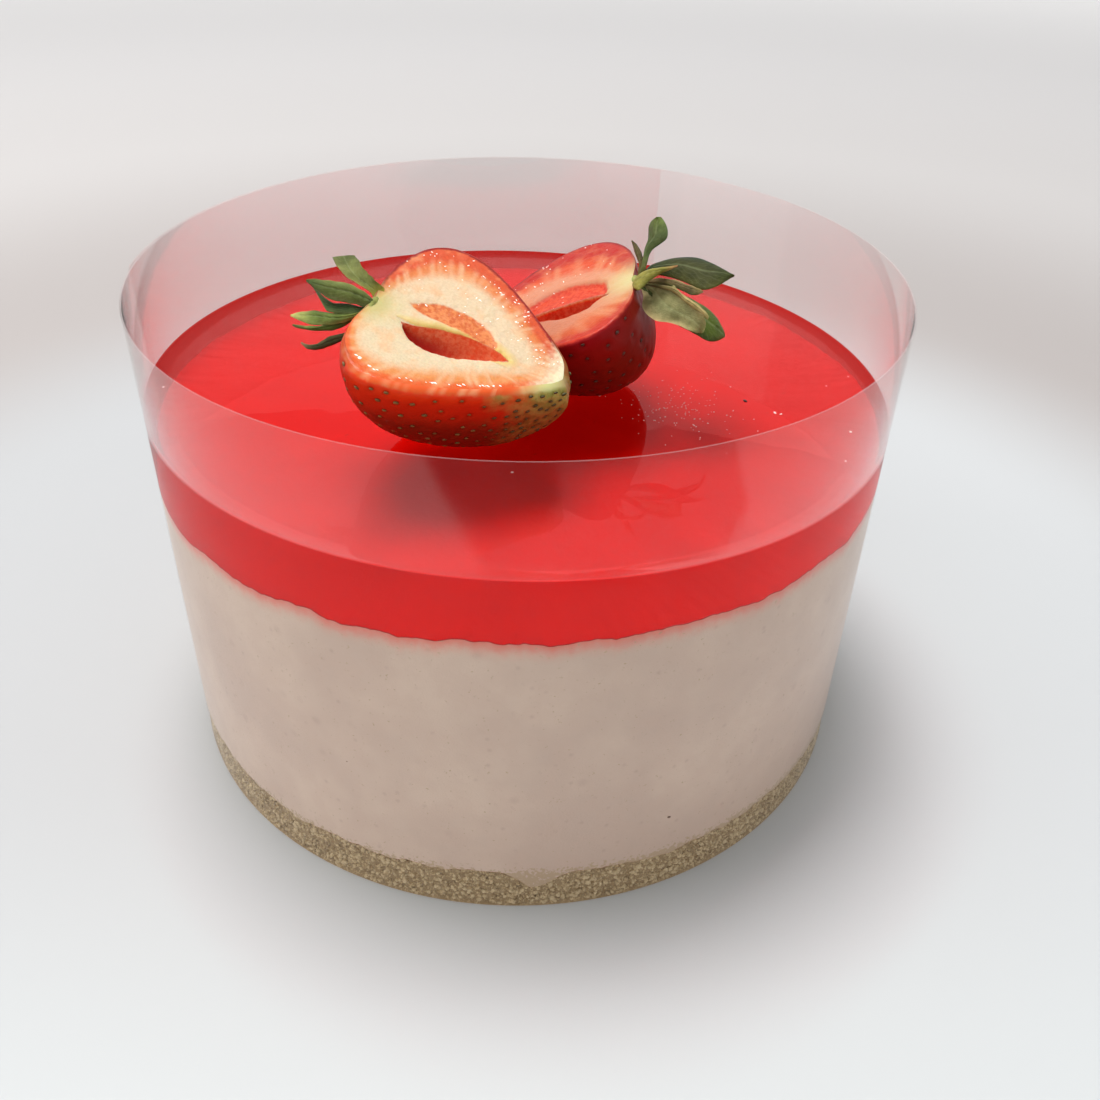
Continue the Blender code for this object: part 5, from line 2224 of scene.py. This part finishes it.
BACK_LEAVES = (
    Leaf(
        (
            -18.3, 4.7, 1.0, -19.3, 3.2, 1.9, -20.3, 1.4, 2.9, -21.1, 0.2, 3.9, -21.7, -0.7, 4.9,
            -22.1, -1.8, 5.9, -23.1, -1.9, 7.0, -24.4, 0.1, 8.0,
        ),
        (
            -19.3, 5.9, 1.0, -20.0, 4.5, 1.9, -20.7, 3.3, 2.7, -21.8, 3.3, 3.7, -24.3, 4.7, 4.7,
            -25.6, 5.8, 5.7, -25.8, 2.1, 6.7, -25.2, -0.1, 7.6,
        ),
        0.5, 0.15,
        ((83, 97, 55), (66, 79, 41), (72, 90, 51), (112, 106, 51), (106, 122, 56)), 0.12,
    ),
    Leaf(
        (
            -18.4, 2.7, 1.4, -18.3, 1.7, 2.3, -18.2, 0.3, 3.1, -18.2, -1.1, 3.8, -18.2, -1.9, 4.6,
        ),
        (
            -19.2, 3.4, 1.4, -19.5, 2.4, 2.3, -19.5, 1.1, 3.1, -19.1, -0.8, 3.9, -18.4, -2.1, 4.6,
        ),
        0.2, 0.05,
        ((91, 78, 47), (104, 83, 55), (66, 61, 36), (121, 102, 55), (79, 66, 43)), 0.08,
    ),
    Leaf(
        (
            -19.0, -0.0, -2.0, -21.1, 0.4, -3.0, -23.3, 1.0, -4.1, -25.1, 2.7, -5.0,
            -26.8, 5.3, -5.7, -28.5, 7.4, -6.4, -30.9, 6.0, -7.0, -32.9, 3.9, -7.6,
            -34.5, 1.9, -8.2,
        ),
        (
            -19.4, -2.0, -1.2, -21.5, -2.9, -1.9, -23.6, -4.0, -2.5, -25.7, -4.8, -3.2,
            -28.0, -4.1, -3.9, -29.9, -2.5, -4.6, -31.6, -0.5, -5.5, -33.2, 1.7, -6.4,
            -34.6, 3.4, -7.4,
        ),
        0.9, 0.20,
        ((64, 66, 30), (92, 92, 46), (34, 56, 34), (42, 60, 34), (68, 78, 40)), 0.10,
    ),
    Leaf(
        (
            -16.8, 11.8, 0.6, -17.9, 11.6, 0.6, -18.9, 10.4, 0.6, -20.3, 8.6, 0.4, -22.0, 7.6, 0.2,
            -23.8, 5.7, -0.5, -25.0, 4.0, -1.2,
        ),
        (
            -16.5, 8.7, 1.0, -17.5, 6.8, 1.3, -19.2, 6.6, 1.6, -20.9, 6.5, 1.3, -22.7, 6.9, 1.0,
            -24.0, 5.5, 0.0, -25.1, 3.8, -1.0,
        ),
        0.5, 0.08,
        ((140, 133, 59), (114, 112, 44), (180, 166, 85), (167, 155, 74), (195, 130, 85)), 0.10,
    ),
    Leaf(
        (
            -21.4, 7.4, -1.6, -22.9, 8.6, -2.3, -24.1, 9.6, -3.0, -25.6, 11.3, -3.8,
            -27.1, 12.2, -4.5, -28.1, 10.1, -5.2,
        ),
        (
            -21.9, 6.5, -1.2, -23.4, 7.1, -1.8, -24.8, 8.2, -2.4, -26.3, 9.8, -3.0,
            -27.5, 10.5, -3.8, -28.3, 10.3, -4.8,
        ),
        0.3, 0.15,
        ((98, 83, 50), (79, 88, 52), (180, 154, 100), (121, 97, 62), (151, 130, 78)), 0.15,
    ),
    Leaf(
        (
            -17.9, 6.9, -2.4, -16.7, 9.2, -3.5, -17.1, 11.4, -4.6, -18.5, 13.4, -5.7,
            -20.6, 13.8, -6.9, -22.5, 15.1, -8.0, -24.2, 16.1, -9.2, -25.7, 15.4, -10.4,
        ),
        (
            -20.8, 6.4, -0.8, -22.7, 6.6, -1.7, -23.8, 10.0, -2.7, -24.9, 11.7, -3.9,
            -26.2, 13.6, -5.1, -27.2, 15.3, -6.5, -27.5, 16.0, -8.2, -26.1, 16.5, -9.8,
        ),
        -0.8, 0.55,
        ((140, 138, 92), (196, 172, 120), (168, 158, 108), (156, 140, 94), (148, 148, 94)), 0.34,
    ),
    Leaf(
        (
            -22.4, 9.4, -2.6, -23.6, 10.8, -3.6, -24.4, 11.9, -4.9, -25.7, 13.9, -5.6,
            -26.9, 15.2, -7.0, -27.5, 15.9, -8.0,
        ),
        (
            -22.9, 8.9, -2.0, -24.2, 10.2, -3.0, -25.0, 11.4, -4.1, -26.3, 13.2, -4.9,
            -27.5, 14.9, -6.3, -28.0, 15.6, -7.6,
        ),
        0.35, 0.15,
        ((180, 161, 106), (142, 126, 78), (195, 173, 117), (57, 54, 31), (167, 152, 97)), 0.20,
    ),
    Leaf(
        (
            -20.3, 11.9, -6.4, -21.8, 13.7, -7.8, -23.4, 14.6, -9.1, -24.8, 15.2, -10.5,
            -25.8, 15.4, -11.9, -27.0, 14.8, -13.3, -28.2, 12.8, -14.6, -29.0, 9.2, -16.0,
        ),
        (
            -23.5, 6.4, -5.0, -25.1, 6.7, -6.5, -26.4, 7.0, -8.1, -27.5, 6.8, -9.6,
            -28.5, 7.6, -11.0, -29.2, 8.6, -12.5, -29.4, 9.6, -14.1, -29.3, 9.8, -15.6,
        ),
        0.6, 0.20,
        ((79, 94, 31), (63, 73, 24), (106, 118, 51), (66, 76, 30), (93, 104, 38)), 0.14,
    ),
)


@dataclass
class Crown:
    """The stub and leaves of one half."""

    shape: HalfShape
    leaves: tuple
    slot: str
    effects: Effects
    seat: tuple
    rows: int = 44
    columns: int = 19
    thickness: float = 0.00034
    stub: tuple = (0.0009, 0.0023, 0.0013)
    stub_colour: tuple = (160, 164, 92)

    @staticmethod
    def round_edge(corners: tuple, seat: np.ndarray, count: int) -> np.ndarray:
        """A smooth edge from the seat through its corners, as evenly numbered points.

        Args:
            corners: The edge's corners, in millimetres.
            seat: Where the leaf joins the fruit.
            count: How many points to return.

        Returns:
            The points in metres.
        """
        line = np.concatenate([[seat], np.array(corners).reshape(-1, 3) * MM])
        fine = resample(np.linspace(0.0, len(line) - 1.0, 200), np.arange(len(line)), line)
        for _ in range(14):
            fine[4:-4] = (fine[:-8] + fine[8:] + 2.0 * fine[4:-4]) / 4.0
        return resample(np.linspace(0.0, 199.0, count), np.arange(200), fine)

    def leaf_points(
        self, leaf: Leaf, seat: np.ndarray, side: LeafSide
    ) -> tuple[np.ndarray, np.ndarray]:
        """One side of a leaf as a grid.

        Args:
            leaf: The leaf.
            seat: Where it joins the fruit, in the half's frame.
            side: Its upper side or its underside.

        Returns:
            The points, and for each its value along (0 to 1) and across (-1 to 1).
        """
        low = self.round_edge(leaf.low, seat, self.rows)
        high = self.round_edge(leaf.high, seat, self.rows)
        chord = high - low
        width = np.linalg.norm(chord, axis=1)
        run = np.gradient((low + high) / 2.0, axis=0)
        face = np.cross(run, chord + np.array((0.0, 1e-6, 0.0)))
        face /= np.maximum(np.linalg.norm(face, axis=1), 1e-12)[:, None]
        face *= np.sign(face[:, 2].sum() or 1.0)
        mark = leaf.bulge * 7.0 + leaf.low[-3]
        points, values = [], []
        for row in range(self.rows):
            along = row / (self.rows - 1)
            full = math.sin(math.pi * min(1.0, along * 1.02)) ** 0.5 if along < 0.98 else 0.0
            for column in range(self.columns):
                across = 2.0 * column / (self.columns - 1) - 1.0
                rag = leaf.jag * MM * full * across * abs(across) ** 3
                rag *= 1.4 * wander(along * 9.0, across * 0.8, mark)
                arch = leaf.bulge * MM * (1.0 - across * across) * full
                wave = leaf.ripple * MM * full * wander(along * 4.0, across * 1.4, mark + 5.0)
                slant = 3.0 * along - 0.9 * abs(across)
                vein = 0.00005 * math.cos(22.0 * slant) * (1.0 - abs(across)) * full
                groove = -0.00016 * math.exp(-((across / 0.09) ** 2)) * full
                thin = self.thickness / 2.0 * (1.0 - 0.6 * abs(across) ** 3) * side
                over = (0.5 + 0.5 * across) + rag / max(width[row], 1e-5)
                lift = arch + wave + vein + groove + thin
                points.append(low[row] + chord[row] * over + face[row] * lift)
                values.append((along, across))
        return np.array(points), np.array(values)

    def build(self) -> None:
        """Builds the crown."""
        seat = np.array(self.seat)
        points, faces, tints, values = [], [], [], []
        count = self.rows * self.columns
        for number, leaf in enumerate(self.leaves):
            for side in LeafSide:
                grid, shares = self.leaf_points(leaf, seat, side)
                points.append(grid)
                values.append(shares)
                tints.append(self.leaf_tints(leaf, shares))
            start = 2 * count * number
            faces += grid_faces(self.rows, self.columns, start=start)
            under = grid_faces(self.rows, self.columns, start=start + count)
            faces += [tuple(reversed(face)) for face in under]
            faces += self.side_faces(start, start + count)
        body = bmesh.new()
        bmesh.ops.create_icosphere(body, subdivisions=3, radius=1.0)
        start = 2 * count * len(self.leaves)
        body.verts.ensure_lookup_table()
        stub = np.array([tuple(vert.co) for vert in body.verts]) * self.stub + seat
        faces += [tuple(start + vert.index for vert in face.verts) for face in body.faces]
        body.free()
        points.append(stub)
        tints.append(np.tile(paint(*self.stub_colour), (len(stub), 1)))
        values.append(np.tile((0.0, 0.5), (len(stub), 1)))
        along, across = np.concatenate(values).T
        shares = {"along": along, "across": across}
        place = self.shape.put(np.concatenate(points))
        piece = add_piece(self.slot + "_leaves", place, faces, self.make_finish(), shares)
        colours = np.concatenate(tints)
        colours = np.c_[colours, np.ones(len(colours))].astype(np.float32)
        attribute = piece.data.attributes.new("tint", "FLOAT_COLOR", "POINT")
        attribute.data.foreach_set("color", colours.ravel())
        weld(piece, within=1e-7)
        smooth(piece, sharp_degrees=70.0)
        hand_over(piece, self.slot, self.slot)

    @staticmethod
    def leaf_tints(leaf: Leaf, values: np.ndarray) -> np.ndarray:
        """The colours of one side of a leaf.

        Args:
            leaf: The leaf.
            values: For each point its value along and across.

        Returns:
            A colour for each point.
        """
        along, across = values[:, :1], values[:, 1:]
        face, low_edge, high_edge, base, tip = (np.array(paint(*tint)) for tint in leaf.colours)
        colour = np.tile(face, (len(values), 1))
        for other, share in (
            (low_edge, np.clip(-across, 0.0, 1.0) ** 3),
            (high_edge, np.clip(across, 0.0, 1.0) ** 3),
            (base, np.clip(1.0 - along / 0.38, 0.0, 1.0)),
            (tip, np.clip((along - 0.72) / 0.28, 0.0, 1.0)),
        ):
            colour = colour + (other - colour) * share
        return colour

    def side_faces(self, top: int, bottom: int) -> list:
        """The narrow faces that close a leaf's edge.

        Args:
            top: The number of the upper side's first point.
            bottom: The number of the underside's first point.

        Returns:
            The faces, as point numbers.
        """
        rows, columns = self.rows, self.columns
        loop = list(range(columns))
        loop += [row * columns + columns - 1 for row in range(1, rows)]
        loop += [(rows - 1) * columns + column for column in range(columns - 2, -1, -1)]
        loop += [row * columns for row in range(rows - 2, 0, -1)]
        faces = []
        for here, after in zip(loop, loop[1:] + loop[:1]):
            faces.append((top + here, bottom + here, bottom + after, top + after))
        return faces

    def make_finish(self) -> Material:
        """Leaf green with a paler midrib and side veins.

        Returns:
            The material.
        """
        recipe = Recipe("leaves_of_" + self.shape.name)
        place = recipe.place()
        tint = recipe.add("ShaderNodeAttribute", attribute_name="tint").outputs["Color"]
        wide = recipe.calc("ABSOLUTE", recipe.attribute("across"))
        rib = recipe.span(wide, 0.02, 0.11, 0.32, 0.0)
        slant = recipe.blend(wide, -0.9, recipe.times(recipe.attribute("along"), 3.0))
        slant = recipe.blend(recipe.uneven(place, 420.0, 2.0), 0.5, slant)
        wave = recipe.calc("COSINE", recipe.times(slant, 22.0))
        veins = recipe.span(wave, 0.60, 1.0, 0.0, 0.10)
        pale = recipe.mix(0.5, tint, paint(190, 200, 150))
        colour = recipe.mix(recipe.calc("MAXIMUM", rib, veins), tint, pale)
        dark = recipe.darken(colour, (0.48, 0.50, 0.42))
        wires = {"Scale": 520.0, "Amount": 0.60, "First": colour, "Second": dark}
        wires = {
            "Base Color": recipe.group(self.effects.mottle, Place=place, **wires),
            "Roughness": 0.50,
            "Specular IOR Level": 0.12,
            "Subsurface Weight": 0.12,
            "Subsurface Radius": (0.0008, 0.0012, 0.0004),
            "Subsurface Scale": 0.5,
            "Normal": self.effects.rough(recipe, place, (1500.0, 5000.0, 0.5), (0.8, 0.0003)),
        }
        return recipe.dress(wires)


# ---- the studio


@dataclass
class Studio:
    """Camera, pale floor and soft lights."""

    focal: float = 1079.1
    picture: float = 1100.0
    sensor: float = 36.0
    place: tuple = (0.0, -0.20669, 0.17896)
    pitch: float = math.radians(35.449)
    yaw: float = math.radians(1.969)
    roll: float = math.radians(1.730)
    shade: tuple = (
        (-100, -240), (-92, -224), (-57, -204), (-24, -181), (21, -180), (89, -157), (138, -118),
        (164, -114), (190, -151), (260, -260), (220, -430), (-150, -430), (-130, -300),
    )
    shade_core: tuple = (
        (-98, -236), (-62, -209), (-34, -200), (20, -206), (34, -216), (38, -330), (-120, -330),
    )

    def make_camera(self) -> None:
        """The camera at the angle that the cake is seen from."""
        data = bpy.data.cameras.new("camera")
        data.sensor_width = self.sensor
        data.lens = self.focal / self.picture * self.sensor
        data.clip_start = 0.005
        flat = math.cos(self.pitch)
        ahead = (math.sin(self.yaw) * flat, math.cos(self.yaw) * flat, -math.sin(self.pitch))
        forward = Vector(ahead)
        level = Vector((math.cos(self.yaw), -math.sin(self.yaw), 0.0))
        above = level.cross(forward)
        right = level * math.cos(self.roll) + above * math.sin(self.roll)
        up = above * math.cos(self.roll) - level * math.sin(self.roll)
        turn = Matrix((right, up, -forward)).transposed()
        camera = bpy.data.objects.new("camera", data)
        camera.matrix_world = Matrix.Translation(self.place) @ turn.to_4x4()
        bpy.context.scene.collection.objects.link(camera)
        bpy.context.scene.camera = camera

    def make_floor(self) -> None:
        """A pale floor that curves up into a backdrop far behind, with painted light and shade: its
        colour changes by side and distance to even out how the lamps light it, and its far part
        glows.
        """
        recipe = Recipe("floor_with_painted_light")
        place = recipe.place()
        x, y, _ = recipe.axes(place)
        reach = recipe.length(place)
        # Painted light and shade: lighter or darker by side, front and distance from the cake, for
        # how the lamps light the floor.
        side = recipe.mix(recipe.span(x, -0.05, 0.18), paint(190, 192, 194), paint(206, 209, 211))
        far = recipe.span(reach, 0.70, 1.6)
        colour = recipe.layers(
            paint(210, 215, 216),
            (recipe.span(y, -0.17, -0.03), side),
            (recipe.span(reach, 0.17, 0.27), paint(179, 173, 171)),
            (recipe.span(reach, 0.28, 0.50), paint(205, 202, 201)),
            (recipe.span(reach, 0.45, 0.80), paint(218, 216, 216)),
            (far, paint(240, 239, 238)),
        )
        wires = {
            "Base Color": colour,
            "Roughness": 0.6,
            # The far floor and backdrop glow: painted light.
            "Emission Color": (1.0, 0.99, 0.985),
            "Emission Strength": recipe.times(far, 0.24),
        }
        finish = recipe.dress(wires)
        radii = [0.0, 0.1, 0.3, 0.8, 1.6, 2.2, 2.6, 2.9, 3.05, 3.1]
        heights = [0.0, 0.0, 0.0, 0.0, 0.0, 0.05, 0.2, 0.5, 0.9, 1.6]
        points, around = [], 64
        for radius, height in zip(radii, heights):
            for step in range(around):
                angle = 2.0 * math.pi * step / around
                x, y = radius * math.cos(angle), radius * math.sin(angle)
                points.append((x, y, height - 0.00002))
        faces = grid_faces(len(radii), around, closed=True)
        piece = add_piece("floor", np.array(points), faces, finish)
        weld(piece)
        smooth(piece)

    def make_painted_shade_card(self) -> None:
        """A dark area in front with soft edges, which only the clear film mirrors: painted shade
        that darkens the film's reflection at the front.
        """
        recipe = Recipe("painted_shade_card")
        # Painted shade: a dark card that only the film's reflection shows.
        dark = recipe.plain({"Base Color": (0.02, 0.012, 0.012), "Roughness": 0.9})
        clear = recipe.clear((1.0, 1.0, 1.0))
        finish = recipe.finish(recipe.cover(recipe.attribute("dark"), clear, dark))
        columns, rows = 90, 70
        ends = np.linspace(-0.20, 0.30, columns), np.linspace(-0.10, -0.45, rows)
        across, deep = np.meshgrid(*ends)
        flat = np.c_[across.ravel(), deep.ravel()]
        wide = edge_distance(flat, np.array(self.shade) * MM)
        core = edge_distance(flat, np.array(self.shade_core) * MM)
        share = 0.5 * np.clip(0.5 - wide / 0.006, 0.0, 1.0)
        share += 0.30 * np.clip(0.5 - core / 0.012, 0.0, 1.0)
        points = np.c_[flat, np.full(len(flat), 0.002)]
        piece = add_piece("painted_shade_card", points, grid_faces(rows, columns), finish, {"dark": share})
        for ray in ("camera", "diffuse", "shadow", "transmission"):
            setattr(piece, "visible_" + ray, False)

    def make_light(self, name: str, place: tuple, size: tuple, power: float, colour: tuple) -> None:
        """A soft panel that faces the middle of the cake.

        Args:
            name: The panel's name.
            place: Where it stands, in metres.
            size: Its width and height, in metres.
            power: Its power, in watts.
            colour: Its colour.
        """
        data = bpy.data.lights.new(name, "AREA")
        data.shape = "RECTANGLE"
        data.size, data.size_y = size
        data.energy = power
        data.color = colour
        lamp = bpy.data.objects.new(name, data)
        lamp.location = place
        aim = Vector((0.0, 0.0, 0.06)) - Vector(place)
        lamp.rotation_euler = aim.to_track_quat("-Z", "Y").to_euler()
        bpy.context.scene.collection.objects.link(lamp)

    def make_lights(self) -> None:
        """A broad light from above and behind, one from the left, and pale surroundings."""
        self.make_light("top_panel", (-0.15, 0.16, 1.09), (0.50, 0.40), 9.5, (1.0, 0.985, 0.97))
        self.make_light("left_panel", (-0.95, -0.15, 0.55), (0.7, 0.6), 2.6, (1.0, 0.97, 0.94))
        world = bpy.data.worlds.new("studio")
        world.use_nodes = True
        background = world.node_tree.nodes["Background"]
        background.inputs["Color"].default_value = (0.86, 0.87, 0.88, 1.0)
        background.inputs["Strength"].default_value = 0.62
        bpy.context.scene.world = world

    def make_view(self) -> None:
        """Plain colours, as a camera's own."""
        view = bpy.context.scene.view_settings
        view.view_transform = "Standard"
        view.look = "None"
        view.exposure = 0.0
        view.gamma = 1.0


def main() -> None:
    """Builds every piece in order."""
    logging.basicConfig(level=logging.INFO, format="%(message)s")
    effects = Effects.build()
    studio = Studio()
    studio.make_camera()
    studio.make_floor()
    studio.make_painted_shade_card()
    studio.make_lights()
    studio.make_view()
    front = BerryHalf(FRONT_HALF, FRONT_FLESH, FRONT_SKIN, effects)
    back = BerryHalf(BACK_HALF, BACK_FLESH, BACK_SKIN, effects)
    front.build()
    back.build()
    Crown(FRONT_HALF, FRONT_LEAVES, "crown_front", effects, (-0.0166, -0.0030, -0.0009)).build()
    Crown(BACK_HALF, BACK_LEAVES, "crown_back", effects, (-0.0168, 0.0048, -0.0009)).build()
    layers = Layers(effects, np.concatenate([front.contact, back.contact]))
    layers.make_biscuit()
    layers.make_mousse()
    layers.make_jelly()
    Specks().build()
    Collar().build()


if __name__ == "__main__":
    main()
